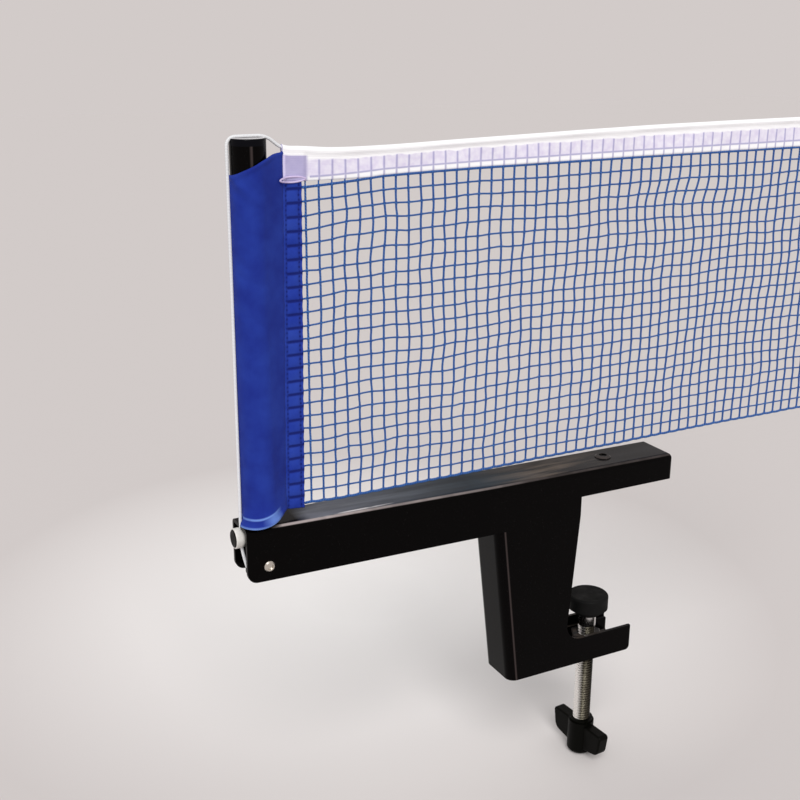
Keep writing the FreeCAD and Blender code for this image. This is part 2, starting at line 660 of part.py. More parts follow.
rivet = new_body("PostRivet")
ARM_TAPER = "(jaw_width - arm_end_width) / 2 / (arm_reach - taper_start)"
SEAT = f"(arm_end_width / 2 + (arm_reach - post_from_edge + post_rivet_head / 2) * {ARM_TAPER})"
BORE_END = f"({SEAT} + post_rivet_head_height - post_rivet_bore_depth)"
revolve(rivet, [("0", f"-{SEAT} - post_rivet_head_height"),
                ("post_rivet_head / 2 - post_rivet_bevel", f"-{SEAT} - post_rivet_head_height"),
                ("post_rivet_head / 2", f"-{SEAT} - post_rivet_head_height / 3"),
                ("post_rivet_head / 2", f"-{SEAT}"), ("post_rivet_diameter / 2", f"-{SEAT}"),
                ("post_rivet_diameter / 2", SEAT), ("post_rivet_head / 2", SEAT),
                ("post_rivet_head / 2", f"{SEAT} + post_rivet_head_height / 3"),
                ("post_rivet_head / 2 - post_rivet_bevel", f"{SEAT} + post_rivet_head_height"),
                ("post_rivet_bore / 2", f"{SEAT} + post_rivet_head_height"),
                ("post_rivet_bore / 2", BORE_END), ("0", BORE_END)])
rivet.Placement = FreeCAD.Placement(V(), FreeCAD.Rotation(V(1, 0, 0), 90))
finish("post_rivet", rivet, POST_X, "-post_rivet_drop")


# Tension cord: straight runs joined by tangent arcs
def cord_path(points, radii):
    """The path, with an arc of the given radius at each inner point."""
    corners = [V(*point) for point in points]
    edges, here = [], corners[0]
    for before, corner, after, radius in zip(corners, corners[1:], corners[2:], radii):
        into, out = (corner - before).normalize(), (after - corner).normalize()
        half_turn = into.getAngle(out) / 2
        reach = radius * math.tan(half_turn)
        start, end = corner - into * reach, corner + out * reach
        inward = (out - into).normalize()
        middle = corner + inward * (radius / math.cos(half_turn) - radius)
        edges += [Part.LineSegment(here, start).toShape(), Part.Arc(start, middle, end).toShape()]
        here = end
        print(f"cord turn {math.degrees(2 * half_turn):.1f} degrees, radius {radius}")
    edges.append(Part.LineSegment(here, corners[-1]).toShape())
    return Part.Wire(edges)


path = cord_path(CORD_POINTS, CORD_RADII)
start, aim = path.Edges[0].Vertexes[0].Point, path.Edges[0].tangentAt(path.Edges[0].FirstParameter)
section = Part.Wire(Part.Circle(start, aim, SIZE["cord_diameter"] / 2).toShape())
cord = doc.addObject("Part::Feature", "TensionCord")
cord.Shape = path.makePipeShell([section], True, False)
cord.Label = "tension_cord"
PARTS.append(("tension_cord", cord))
straight = math.pi * (SIZE["cord_diameter"] / 2) ** 2 * path.Length
print(f"cord length {path.Length:.1f}, volume {cord.Shape.Volume:.2f} against {straight:.2f}")

# Cord stop: a collar across the cord, closed by a plug on its outer face
stop = new_body("CordStop")
revolve(stop, [("stop_pocket_diameter / 2", "0"), ("stop_diameter / 2", "0"),
               ("stop_diameter / 2", "stop_length"), ("0", "stop_length"), ("0", "stop_pocket_depth"),
               ("stop_pocket_diameter / 2", "stop_pocket_depth")])
fillet(stop, "stop_rim_radius", lambda e: is_ring(e, SIZE["stop_diameter"] / 2, 0.0))
fillet(stop, "stop_back_radius", lambda e: is_ring(e, SIZE["stop_diameter"] / 2, SIZE["stop_length"]))
across = new_sketch(stop, "YZ_Plane")
circle(across, "0", "stop_face - stop_cord", "stop_cord_hole / 2")
cut_through(stop, across)
stop.Placement = FreeCAD.Placement(V(), FreeCAD.Rotation(V(0, 1, 0), 90))
finish("cord_stop", stop, "-stop_face - edge_to_origin", "stop_height")

plug = new_body("CordStopPlug")
revolve(plug, [("0", "stop_pocket_depth"), ("stop_pocket_diameter / 2", "stop_pocket_depth"),
               ("stop_pocket_diameter / 2", "0"),
               ("stop_pocket_diameter / 2 - stop_plug_bevel", "-stop_plug_proud"),
               ("0", "-stop_plug_proud")])
plug.Placement = FreeCAD.Placement(V(), FreeCAD.Rotation(V(0, 1, 0), 90))
finish("cord_stop_plug", plug, "-stop_face - edge_to_origin", "stop_height")

# Sleeve: a fabric tube round the post, with its slanting top
outer = doc.addObject("Part::Cylinder", "SleeveOuter")
bind(outer, Radius="post_diameter / 2 + sleeve_gap + sleeve_thickness", Height="post_top")
inner = doc.addObject("Part::Cylinder", "SleeveInner")
bind(inner, Radius="post_diameter / 2 + sleeve_gap", Height="post_top")
ring = boolean("Cut", "SleeveRing", outer, inner)
wedge = new_body("SleeveWedge")
side = new_sketch(wedge, "XZ_Plane")
MIDDLE = "(sleeve_top_inner + sleeve_top_outer) / 2"
RISE = "(sleeve_top_inner - sleeve_top_outer)"
polygon(side, [("-post_diameter", "sleeve_bottom"), ("post_diameter", "sleeve_bottom"),
               ("post_diameter", f"{MIDDLE} + {RISE}"), ("-post_diameter", f"{MIDDLE} - {RISE}")])
pad(wedge, side, "post_diameter * 2", both_ways=True)
finish("net_sleeve", boolean("Common", "NetSleeve", ring, wedge), POST_X)

# Hem: the flat sewn strip between the sleeve and the mesh
hem = new_body("SleeveHem")
side = new_sketch(hem, "XZ_Plane")
HEM_START = "(-post_from_edge + post_diameter / 2 + sleeve_gap + sleeve_thickness + hem_gap)"
TAPE_SIDE = "(-tape_start - soft_gap)"
TAPE_UNDER = "(tape_low_outer - soft_gap)"
polygon(side, [(HEM_START, "hem_bottom"), ("-hem_end", "hem_bottom"), ("-hem_end", TAPE_UNDER),
               (TAPE_SIDE, TAPE_UNDER), (TAPE_SIDE, "hem_top"), (HEM_START, "sleeve_top_inner")])
pad(hem, side, "hem_thickness", both_ways=True)
finish("sleeve_hem", hem)

# Mesh panel: a thin slab between the hem, the tape and the bottom cord, open in a plain grid whose
# bars stand for the fine twine
def mesh_low(x):
    """Height of the mesh panel's lower edge, on top of the bottom cord, at x."""
    return f"({net_line('net_low_outer', 'net_low_inner', x)} + bottom_cord_diameter / 2)"


def mesh_height(x):
    return f"({net_line('tape_low_outer', 'tape_low_inner', x)} - {mesh_low(x)})"


mesh = new_body("NetMesh")
side = new_sketch(mesh, "XZ_Plane")
polygon(side, [("-hem_end", mesh_low("-hem_end")), ("net_end", mesh_low("net_end")),
               ("net_end", f"{mesh_low('net_end')} + {mesh_height('net_end')}"),
               ("-hem_end", f"{mesh_low('-hem_end')} + {mesh_height('-hem_end')}")])
pad(mesh, side, "mesh_thickness", both_ways=True)
LEAST_HEIGHT = f"min({mesh_height('-hem_end')}; {mesh_height('net_end')})"
COLUMN_PITCH = f"((net_end + hem_end - mesh_bar) / {MESH_COLUMNS})"
ROW_PITCH = f"(({LEAST_HEIGHT} - mesh_bar) / {MESH_ROWS})"
opening = new_sketch(mesh, "XZ_Plane")
LEFT = "(mesh_bar - hem_end)"
RIGHT = f"({COLUMN_PITCH} - hem_end)"
polygon(opening, [(LEFT, f"{mesh_low(LEFT)} + mesh_bar"), (RIGHT, f"{mesh_low(RIGHT)} + mesh_bar"),
                  (RIGHT, f"{mesh_low(RIGHT)} + {ROW_PITCH}"), (LEFT, f"{mesh_low(LEFT)} + {ROW_PITCH}")])
first_opening = cut_through(mesh, opening)
openings = mesh.newObject("PartDesign::LinearPattern", "MeshOpenings")
openings.Originals = [first_opening]
openings.Direction = (side, ["Edge1"])
openings.Direction2 = (side, ["V_Axis"])
openings.Occurrences = MESH_COLUMNS
openings.Occurrences2 = MESH_ROWS
bind(openings, Length=f"{COLUMN_PITCH} * {MESH_COLUMNS - 1}", Length2=f"{ROW_PITCH} * {MESH_ROWS - 1}")
mesh.Tip = openings
finish("net_mesh", mesh)


def net_rod(name, radius, start, end, low, high):
    """A straight rod from start to end, at the heights that the two formulas give."""
    rod = doc.addObject("Part::Cylinder", name)
    bind(rod, Radius=radius, Height=f"sqrt((({end}) - ({start}))^2 + (({high}) - ({low}))^2)")
    rod.Placement = FreeCAD.Placement(V(), FreeCAD.Rotation(V(0, 1, 0), 90))
    bind(rod, Placement__Rotation__Angle=f"90 deg - atan((({high}) - ({low})) / (({end}) - ({start})))")
    bind(rod, Placement__Base__x=start, Placement__Base__z=low)
    doc.recompute()
    return rod


# Bottom cord of the net
LOW_LINE = [net_line("net_low_outer", "net_low_inner", x) for x in ("-hem_end", "net_end")]
rod = net_rod("BottomCord", "bottom_cord_diameter / 2", "-hem_end", "net_end", *LOW_LINE)
finish("net_bottom_cord", rod, "-hem_end - edge_to_origin")

# Top tape: a folded strip with the tension cord inside its upper edge
tape = new_body("TopTape")
side = new_sketch(tape, "XZ_Plane")
polygon(side, [("-tape_start", "tape_low_outer"), ("net_end", "tape_low_inner"),
               ("net_end", "tape_top_inner"), ("-tape_start", "tape_top_outer")])
pad(tape, side, "tape_thickness", both_ways=True)
BORE_START = "-(tape_start + cut_margin)"
BORE_STOP = "(net_end + cut_margin)"
CORD_LINE = [net_line("tape_top_outer", "tape_top_inner", x) + " - tape_cord_depth"
             for x in (BORE_START, BORE_STOP)]
bore = net_rod("TapeBore", "cord_diameter / 2 + running_clearance", BORE_START, BORE_STOP, *CORD_LINE)
finish("net_top_tape", boolean("Cut", "NetTopTape", tape, bore))

# Every object is sound, and every piece is one closed solid, before anything is written
doc.recompute()
for thing in doc.Objects:
    if {"Invalid", "Error"} & set(thing.State):
        raise RuntimeError(f"{thing.Name} failed: {thing.State}")
for name, thing in PARTS:
    shape = thing.Shape
    if shape.isNull() or not shape.isValid() or len(shape.Solids) != 1:
        raise RuntimeError(f"{name} is not one sound solid: {len(shape.Solids)}")
os.makedirs("parts", exist_ok=True)
for name, thing in PARTS:
    thing.Shape.exportStep(f"parts/{name}.step")
    box = thing.Shape.BoundBox
    print(f"{name:20s} {thing.Shape.Volume:9.1f} mm3  X {box.XMin:7.1f} {box.XMax:7.1f}  "
          f"Y {box.YMin:6.1f} {box.YMax:6.1f}  Z {box.ZMin:7.1f} {box.ZMax:7.1f}")
print(len(PARTS), "pieces")
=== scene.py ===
"""The looks of the table tennis net clamp: its net's end, sleeve, cord, thread and finishes.

Lengths are in millimetres until they go into a mesh or a shader, which are in metres. They are in
the part's own frame: +X runs along the net to the middle of the table, +Y along the table's edge
and +Z up.
"""

from functools import reduce
from math import pi, radians

import bpy
import numpy as np
from mathutils import Matrix, Vector, noise


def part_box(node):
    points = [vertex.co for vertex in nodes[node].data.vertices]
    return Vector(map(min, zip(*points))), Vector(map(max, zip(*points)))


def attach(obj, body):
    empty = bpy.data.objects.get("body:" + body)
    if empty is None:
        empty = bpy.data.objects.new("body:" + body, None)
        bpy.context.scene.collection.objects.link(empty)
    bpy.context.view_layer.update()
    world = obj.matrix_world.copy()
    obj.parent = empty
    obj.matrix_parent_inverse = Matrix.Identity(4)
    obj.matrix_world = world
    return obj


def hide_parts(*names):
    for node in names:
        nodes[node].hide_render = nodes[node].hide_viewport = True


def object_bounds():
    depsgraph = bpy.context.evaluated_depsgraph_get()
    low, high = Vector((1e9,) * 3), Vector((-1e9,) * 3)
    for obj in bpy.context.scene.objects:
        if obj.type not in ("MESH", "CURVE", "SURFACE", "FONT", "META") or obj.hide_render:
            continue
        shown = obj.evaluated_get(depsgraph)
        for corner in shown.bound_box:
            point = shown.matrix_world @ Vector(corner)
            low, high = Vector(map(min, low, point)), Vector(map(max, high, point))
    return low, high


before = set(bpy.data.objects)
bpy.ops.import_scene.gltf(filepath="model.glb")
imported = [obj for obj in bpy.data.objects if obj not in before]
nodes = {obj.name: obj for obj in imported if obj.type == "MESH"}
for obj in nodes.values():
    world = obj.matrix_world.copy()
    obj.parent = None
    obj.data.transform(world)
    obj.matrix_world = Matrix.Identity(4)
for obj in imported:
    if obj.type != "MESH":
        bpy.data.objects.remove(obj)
cad_low, cad_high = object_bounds()

MM = 0.001
CLOTH_MAP = "cloth"

# Without a seed the noise starts from the clock, and every run would have other folds.
NOISE_SEED = 11
noise.seed_set(NOISE_SEED)


def box_of(node):
    """The lowest and highest corner of a CAD node, in millimetres."""
    low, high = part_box(node)
    return np.array(low) / MM, np.array(high) / MM


def metres(lengths):
    """Some lengths in millimetres, in metres."""
    return [length * MM for length in lengths]


def mix(a, b, share):
    """The value at a share of the way from a to b."""
    return a + (b - a) * share


def smooth(share):
    """A share from 0 to 1 that starts and stops gently."""
    return share * share * (3 - 2 * share)


def bump_at(x, middle, reach):
    """A round bump of height 1 at middle, that is gone by about twice reach."""
    return np.exp(-(((x - middle) / reach) ** 2))


def wander(a, b, seed):
    """Smooth random offsets of up to about 1 in three directions, the same ones each run."""
    a, b = np.broadcast_arrays(np.asarray(a, float), np.asarray(b, float))
    found = [noise.noise_vector((x, y, seed)) for x, y in zip(a.ravel(), b.ravel())]
    return np.array(found).reshape(*a.shape, 3)


def at_places(x, heights):
    """The height at x between those that are given at a few places."""
    return np.interp(x, list(heights), list(heights.values()))


# Places and sizes that are read off the CAD nodes.

mesh_low, mesh_high = box_of("net_mesh")
tape_low, tape_high = box_of("net_top_tape")
strand_low, strand_high = box_of("net_bottom_cord")
sleeve_low, sleeve_high = box_of("net_sleeve")
hem_low, hem_high = box_of("sleeve_hem")
screw_low, screw_high = box_of("clamp_screw")
ARM_TOP = box_of("arm_channel")[1][2]
POST_X = sum(box_of("post_tube"))[0] / 2
SCREW_X = sum(box_of("swivel_cup"))[0] / 2


# Meshes.

LOOP_AROUND = 3.0
LOOP_STEP = 0.5


def joined(*parts):
    """Points or maps from their two or three numbers, each spread over the shape of the others."""
    return np.stack(np.broadcast_arrays(*parts), axis=-1)


def rings_along(line, ways, radii, sides):
    """Rings of points round a line, square to the ways that it takes at its points."""
    ways = ways / np.linalg.norm(ways, axis=1)[:, None]
    side = np.cross(ways, (0.0, 1.0, 0.0))
    side /= np.linalg.norm(side, axis=1)[:, None]
    other = np.cross(ways, side)
    angle = np.linspace(0, 2 * pi, sides, endpoint=False)[None, :, None]
    ring = np.cos(angle) * side[:, None] + np.sin(angle) * other[:, None]
    radii = np.broadcast_to(np.asarray(radii, float), len(line))
    return line[:, None] + radii[:, None, None] * ring


def two_sided(x, near, far, z):
    """Points of a closed grid whose rows go up the near side and down the far side."""
    return np.concatenate([joined(x, near, z), joined(x, far, z)[:, -2:0:-1]], axis=1)


def there_and_back(values):
    """Values for the maps of a two sided grid, from those of one side."""
    return np.concatenate([values, values[:, -2::-1]], axis=1)


class Shape:
    """The points, faces and maps of one piece, gathered from grids and tubes."""

    def __init__(self):
        self.points = []
        self.quads = []
        self.quad_maps = []
        self.ends = []
        self.count = 0

    def grid(self, points, maps, closed=False):
        """Faces over points[row][column].

        A closed grid joins its last column to its first, and has one more map in each row.
        """
        rows, columns = points.shape[:2]
        wide = columns if closed else columns - 1
        a = np.arange(rows - 1)[:, None]
        b = np.arange(wide)[None, :]
        beside = (b + 1) % columns
        corners = [(a, b), (a, beside), (a + 1, beside), (a + 1, b)]
        quads = np.stack([row * columns + column for row, column in corners], axis=-1)
        self.quads.append(self.count + quads.reshape(-1, 4))
        left, right = slice(wide), slice(1, wide + 1)
        held = [maps[:-1, left], maps[:-1, right], maps[1:, right], maps[1:, left]]
        self.quad_maps.append(np.stack(held, axis=2).reshape(-1, 4, 2))
        self.points.append(points.reshape(-1, 3))
        self.count += rows * columns

    def rod(self, points, maps):
        """A closed grid whose first and last rows are filled."""
        around = points.shape[1]
        first = self.count
        self.grid(points, maps, closed=True)
        self.ends.append(list(reversed(range(first, first + around))))
        self.ends.append(list(range(self.count - around, self.count)))

    def tube(self, line, radii, sides):
        """A round tube along line, with a map of 0 to 1 round it and millimetres along it."""
        steps = np.linalg.norm(np.diff(line, axis=0), axis=1)
        run = np.concatenate([[0], np.cumsum(steps)])[:, None]
        rings = rings_along(line, np.gradient(line, axis=0), radii, sides)
        self.rod(rings, joined(np.linspace(0, 1, sides + 1)[None], run))

    def loop(self, line, radius, sides):
        """A round tube along a closed line, whose map is only about to scale."""
        ways = np.roll(line, -1, axis=0) - np.roll(line, 1, axis=0)
        rings = rings_along(line, ways, radius, sides)
        run = np.arange(len(line) + 1.0)[:, None] * LOOP_STEP
        around = np.linspace(0, LOOP_AROUND, sides + 1)[None]
        self.grid(np.concatenate([rings, rings[:1]]), joined(around, run), closed=True)

    def piece(self, name, material):
        """An object in the scene, made of all that was gathered."""
        mesh = bpy.data.meshes.new(name)
        faces = [face.tolist() for face in np.concatenate(self.quads)]
        mesh.from_pydata((np.concatenate(self.points) * MM).tolist(), [], faces + self.ends)
        flat = [np.zeros((len(end), 2)) for end in self.ends]
        maps = np.concatenate([np.concatenate(self.quad_maps).reshape(-1, 2), *flat])
        layer = mesh.uv_layers.new(name=CLOTH_MAP)
        layer.data.foreach_set("uv", maps.astype(np.float32).ravel())
        mesh.shade_smooth()
        mesh.materials.append(material)
        made = bpy.data.objects.new(name, mesh)
        bpy.context.scene.collection.objects.link(made)
        return made


# Finishes. A pair of numbers says where a change starts and where it is complete.


def paint(red, green, blue):
    """The colour that a screen shows as these numbers from 0 to 255."""

    def linear(c):
        c = c / 255
        return c / 12.92 if c <= 0.04045 else ((c + 0.055) / 1.055) ** 2.4

    return (linear(red), linear(green), linear(blue), 1.0)


def darker(colour, share):
    return [c * share for c in colour]


class Finish:
    """One material: a shader, and nodes that vary its colour, roughness and surface."""

    def __init__(self, name, colour, roughness, metallic=0.0, specular=0.5, **more):
        self.material = bpy.data.materials.new(name)
        self.material.use_nodes = True
        self.tree = self.material.node_tree
        self.shader = self.tree.nodes["Principled BSDF"]
        said = {
            "Base Color": colour,
            "Roughness": roughness,
            "Metallic": metallic,
            "Specular IOR Level": specular,
        }
        for socket, value in {**said, **more}.items():
            self.shader.inputs[socket.replace("_", " ")].default_value = value
        self.place = self.add("TexCoord").outputs["Object"]

    def feed(self, socket, value):
        """Links or sets one input of a node."""
        if isinstance(value, bpy.types.NodeSocket):
            self.tree.links.new(value, socket)
        else:
            socket.default_value = value

    def add(self, kind, inputs=None, **settings):
        node = self.tree.nodes.new("ShaderNode" + kind)
        for name, value in settings.items():
            setattr(node, name, value)
        for name, value in (inputs or {}).items():
            self.feed(node.inputs[name], value)
        return node

    def set(self, socket, value):
        self.tree.links.new(value, self.shader.inputs[socket])

    def math(self, operation, a, b=0.0):
        return self.add("Math", {0: a, 1: b}, operation=operation).outputs[0]

    def times(self, *values):
        return reduce(lambda a, b: self.math("MULTIPLY", a, b), values)

    def most(self, *values):
        return reduce(lambda a, b: self.math("MAXIMUM", a, b), values)

    def between(self, value, low, high, to_low=0.0, to_high=1.0):
        """value, from low to high, as a number from to_low to to_high."""
        sockets = {"Value": value, "From Min": low, "From Max": high}
        sockets.update({"To Min": to_low, "To Max": to_high})
        return self.add("MapRange", sockets).outputs["Result"]

    def rise(self, value, span):
        """0 before the span and 1 after it."""
        return self.between(value, *span)

    def fall(self, value, span, peak=1.0):
        """peak before the span and 0 after it."""
        return self.between(value, *span, peak, 0.0)

    def band(self, value, middle, span, peak=1.0):
        """peak near middle, and 0 where value is further from it than the span."""
        return self.fall(self.math("ABSOLUTE", self.math("SUBTRACT", value, middle)), span, peak)

    def blend(self, share, a, b):
        node = self.tree.nodes.new("ShaderNodeMix")
        node.data_type = "RGBA"
        for name, value in {"Factor": share, "A": a, "B": b}.items():
            self.feed([s for s in node.inputs if s.name == name and s.enabled][0], value)
        return [s for s in node.outputs if s.enabled][0]

    def noise(self, size, detail=2.0, stretch=1.0):
        """Noise from 0 to 1, with grains of about size millimetres.

        Where stretch is below 1 they are longer along X.
        """
        sockets = {"Vector": self.place, "Scale": (stretch, 1.0, 1.0)}
        place = self.add("Mapping", sockets).outputs["Vector"]
        sockets = {"Vector": place, "Scale": 1 / (size * MM), "Detail": detail}
        return self.add("TexNoise", sockets).outputs["Fac"]

    def parts(self, vector):
        """The X, Y and Z of a vector."""
        return list(self.add("SeparateXYZ", {"Vector": vector}).outputs)

    def facing(self):
        """The X, Y and Z of the way that the surface faces."""
        return self.parts(self.add("NewGeometry").outputs["Normal"])

    def thread(self):
        """Where a point lies on the piece's map: across, along."""
        return self.parts(self.add("UVMap", uv_map=CLOTH_MAP).outputs["UV"])[:2]

    def wave(self, *terms):
        """A wave from -1 to 1 of the sum of value times turns."""
        total = 0.0
        for value, turns in terms:
            total = self.math("ADD", self.math("MULTIPLY", value, turns * 2 * pi), total)
        return self.math("SINE", total)

    def raise_by(self, height, depth):
        """Bump of up to depth millimetres."""
        surface = self.add("Bump", {"Height": height, "Distance": depth * MM})
        self.tree.links.new(surface.outputs["Normal"], self.shader.inputs["Normal"])


ENAMEL = paint(4, 3, 3)
ENAMEL_SPECK = paint(26, 24, 24)
UPWARD = (0.9, 0.99)
# A painted reflection on the arm's upward faces: pale past the sleeve, then cool, grey-brown and
# dark towards the jaw. Nearer the sleeve the enamel stays black as the sleeve's painted shade.
TOP_REFLECTION_STARTS = (-152.0, -146.0)
TOP_REFLECTION_PALE, TOP_REFLECTION_COOL, TOP_REFLECTION_TURNS_COOL = paint(110, 112, 120), paint(38, 50, 59), (-140.0, -75.0)
TOP_REFLECTION_GREY, TOP_REFLECTION_BROWN, TOP_REFLECTION_TURNS_BROWN = paint(40, 38, 38), paint(98, 86, 76), (-70.0, -40.0)
TOP_REFLECTION_INNER, TOP_REFLECTION_TURNS_INNER = paint(38, 37, 38), (-30.0, -2.0)
# A painted highlight along the arm's top fold, pale near the sleeve and duller further along.
FOLD_UP, FOLD_FLAT = (0.62, 0.76), (0.92, 0.98)
FOLD_HIGHLIGHT_STARTS = (-163.0, -158.0)
FOLD_HIGHLIGHT_PALE, FOLD_HIGHLIGHT_DULL, FOLD_HIGHLIGHT_TURNS_DULL = paint(168, 156, 153), paint(66, 60, 58), (-130.0, -40.0)
# A painted reflection: a pale streak along the arm's top near its front edge.
STREAK_REFLECTION, STREAK_REFLECTION_Y, STREAK_REFLECTION_EDGE = paint(214, 208, 206), -6.6, (0.2, 0.7)
STREAK_REFLECTION_STARTS, STREAK_REFLECTION_ENDS = (-147.0, -145.0), (-124.0, -108.0)
# A painted highlight on bends that face sideways, such as the column's folds; it falls on the post
# too.
BEND_HIGHLIGHT, BEND_HIGHLIGHT_FROM, BEND_HIGHLIGHT_TO = paint(58, 50, 49), (-0.26, -0.16), (-0.12, -0.05)


def enamel():
    """Stove enamel with painted reflections on its upward faces, a painted reflected streak, and
    painted highlights on its top folds and side bends.
    """
    made = Finish("gloss_black_enamel", ENAMEL, 0.14, specular=0.25, IOR=1.19)
    along, beside, _ = made.parts(made.place)
    sideways, _, upward = made.facing()

    def past(span):
        return made.rise(along, metres(span))

    up = made.rise(upward, UPWARD)
    look = made.blend(made.rise(made.noise(0.35, 1.0), (0.70, 0.76)), ENAMEL, ENAMEL_SPECK)

    # Painted reflection on the upward faces, which starts past the sleeve so that the sleeve's
    # painted shade stays black.
    top_reflection = made.blend(past(TOP_REFLECTION_TURNS_COOL), TOP_REFLECTION_PALE, TOP_REFLECTION_COOL)
    brown_reflection = made.blend(made.rise(made.noise(4.0, 3.0, 0.12), (0.42, 0.6)), TOP_REFLECTION_GREY, TOP_REFLECTION_BROWN)
    top_reflection = made.blend(past(TOP_REFLECTION_TURNS_BROWN), top_reflection, brown_reflection)
    top_reflection = made.blend(past(TOP_REFLECTION_TURNS_INNER), top_reflection, TOP_REFLECTION_INNER)
    reflection_streaks = made.between(made.noise(5.0, 4.0, 0.16), 0.35, 0.68, 0.5, 1.0)
    look = made.blend(made.times(up, reflection_streaks, past(TOP_REFLECTION_STARTS)), look, top_reflection)

    # The painted reflected streak.
    line = made.band(beside, STREAK_REFLECTION_Y * MM, metres(STREAK_REFLECTION_EDGE))
    reach = made.times(past(STREAK_REFLECTION_STARTS), made.fall(along, metres(STREAK_REFLECTION_ENDS)))
    patchy = made.rise(made.noise(3.0, 2.0, 0.4), (0.4, 0.6))
    look = made.blend(made.times(line, reach, patchy, up), look, STREAK_REFLECTION)

    # Painted highlight on the sideways bends.
    bend_highlight = made.times(made.rise(sideways, BEND_HIGHLIGHT_FROM), made.fall(sideways, BEND_HIGHLIGHT_TO))
    look = made.blend(bend_highlight, look, BEND_HIGHLIGHT)

    # Painted highlight along the top fold.
    fold = made.times(made.rise(upward, FOLD_UP), made.fall(upward, FOLD_FLAT))
    patchy = made.between(made.noise(9.0, 3.0), 0.3, 0.6, 0.55, 1.0)
    fold_highlight = made.times(fold, patchy, past(FOLD_HIGHLIGHT_STARTS))
    look = made.blend(fold_highlight, look, made.blend(past(FOLD_HIGHLIGHT_TURNS_DULL), FOLD_HIGHLIGHT_PALE, FOLD_HIGHLIGHT_DULL))

    made.set("Base Color", look)
    made.set("Roughness", made.between(made.noise(14.0, 3.0), 0.35, 0.65, 0.1, 0.22))
    made.raise_by(made.noise(1.4, 1.0), 0.004)
    return made.material


SCREW_RADIUS = 3.9
# The rod is painted light on one side and dark on the other: a painted highlight and painted
# shade.
ROD_LIT_SIDE = (-0.98, 0.1, 0.0)
ROD_HIGHLIGHT, ROD_SHADE = paint(250, 249, 246), paint(24, 23, 19)
ROD_HALF_LIT, ROD_OIL = paint(100, 96, 84), paint(66, 62, 52)


def rod_steel():
    """Zinc plate with old oil in the thread, with a painted highlight on the side away from the
    column and painted shade on the other side.
    """
    made = Finish("zinc_plate", ROD_HIGHLIGHT, 0.24, metallic=1.0)
    turned = made.add("VectorMath", {0: made.place, 1: ROD_LIT_SIDE}, operation="DOT_PRODUCT")
    middle = SCREW_X * ROD_LIT_SIDE[0]
    span = metres([middle - SCREW_RADIUS, middle + SCREW_RADIUS])
    lit = made.between(turned.outputs["Value"], *span, -1.0, 1.0)
    shaded = made.blend(made.rise(lit, (-0.5, 0.1)), ROD_SHADE, ROD_HALF_LIT)
    grime = made.between(made.noise(2.2, 3.0), 0.35, 0.7, 0.0, 0.5)
    oiled = made.blend(grime, shaded, ROD_OIL)
    made.set("Base Color", made.blend(made.rise(lit, (0.56, 0.8)), oiled, ROD_HIGHLIGHT))
    made.set("Roughness", made.between(made.noise(0.8), 0.3, 0.7, 0.18, 0.36))
    made.raise_by(made.noise(0.4), 0.006)
    return made.material


def mottled(made, colour, shade, size, span, grain, roughness, depth):
    """A finish that is blotched with a darker shade, and uneven in its gloss and surface."""
    blotch = made.rise(made.noise(size), span)
    made.set("Base Color", made.blend(blotch, colour, darker(colour, shade)))
    made.set("Roughness", made.between(roughness[0], 0.3, 0.7, *roughness[1:]))
    made.raise_by(grain, depth)
    return made.material


def steel(name, colour, roughness):
    made = Finish(name, colour, roughness, metallic=1.0)
    grain = made.noise(0.5, 3.0)
    gloss = (grain, roughness * 0.7, roughness * 1.4)
    return mottled(made, colour, 0.86, 3.0, (0.3, 0.7), grain, gloss, 0.006)


def plastic(name, colour, roughness, specular=0.5, grain=0.25, depth=0.01):
    made = Finish(name, colour, roughness, specular=specular)
    gloss = (made.noise(5.0, 3.0), roughness * 0.8, roughness * 1.25)
    return mottled(made, colour, 0.8, 2.0, (0.3, 0.8), made.noise(grain, 1.0), gloss, depth)


# The pale colour is a painted highlight on the cap's upward face.
CAP_BLACK, CAP_TOP_HIGHLIGHT = paint(8, 8, 13), paint(218, 214, 215)


def cap_plastic():
    """Glossy black plastic, with a painted highlight on its top."""
    made = Finish("gloss_black_plastic", CAP_BLACK, 0.14, specular=0.06)
    highlight_patches = made.between(made.noise(2.5, 3.0, 0.4), 0.3, 0.6, 0.7, 1.0)
    # Painted highlight on the upward face, in patches.
    highlight_strength = made.times(made.rise(made.facing()[2], (0.8, 0.97)), highlight_patches)
    made.set("Base Color", made.blend(highlight_strength, CAP_BLACK, CAP_TOP_HIGHLIGHT))
    made.set("Roughness", made.between(made.noise(4.0), 0.3, 0.7, 0.1, 0.25))
    made.raise_by(made.noise(1.0, 1.0), 0.004)
    return made.material


TWINE_BLUE, TWINE_CROWN_HIGHLIGHT = paint(18, 62, 132), paint(74, 128, 196)
TWINE_PLIES = 2
TWINE_TURN = 1.1


def twine():
    """Twisted strands, whose map runs round them and along them."""
    made = Finish("blue_twine", TWINE_BLUE, 0.75, specular=0.3, Sheen_Weight=0.08)
    round_it, along = made.thread()
    ply = made.wave((round_it, TWINE_PLIES), (along, 1 / TWINE_TURN))
    highlight_strength = made.between(made.noise(1.5), 0.3, 0.7, 0.45, 1.0)
    # The plies' crowns are painted lighter than their grooves: painted highlight and painted
    # shade.
    crown_highlight = made.times(made.rise(ply, (-0.4, 1.0)), highlight_strength)
    made.set("Base Color", made.blend(crown_highlight, TWINE_BLUE, TWINE_CROWN_HIGHLIGHT))
    made.raise_by(ply, 0.06)
    return made.material


BRAID_WHITE, BRAID_GROOVE_SHADE = paint(240, 240, 240), paint(204, 204, 212)
BRAID_STRANDS = 4


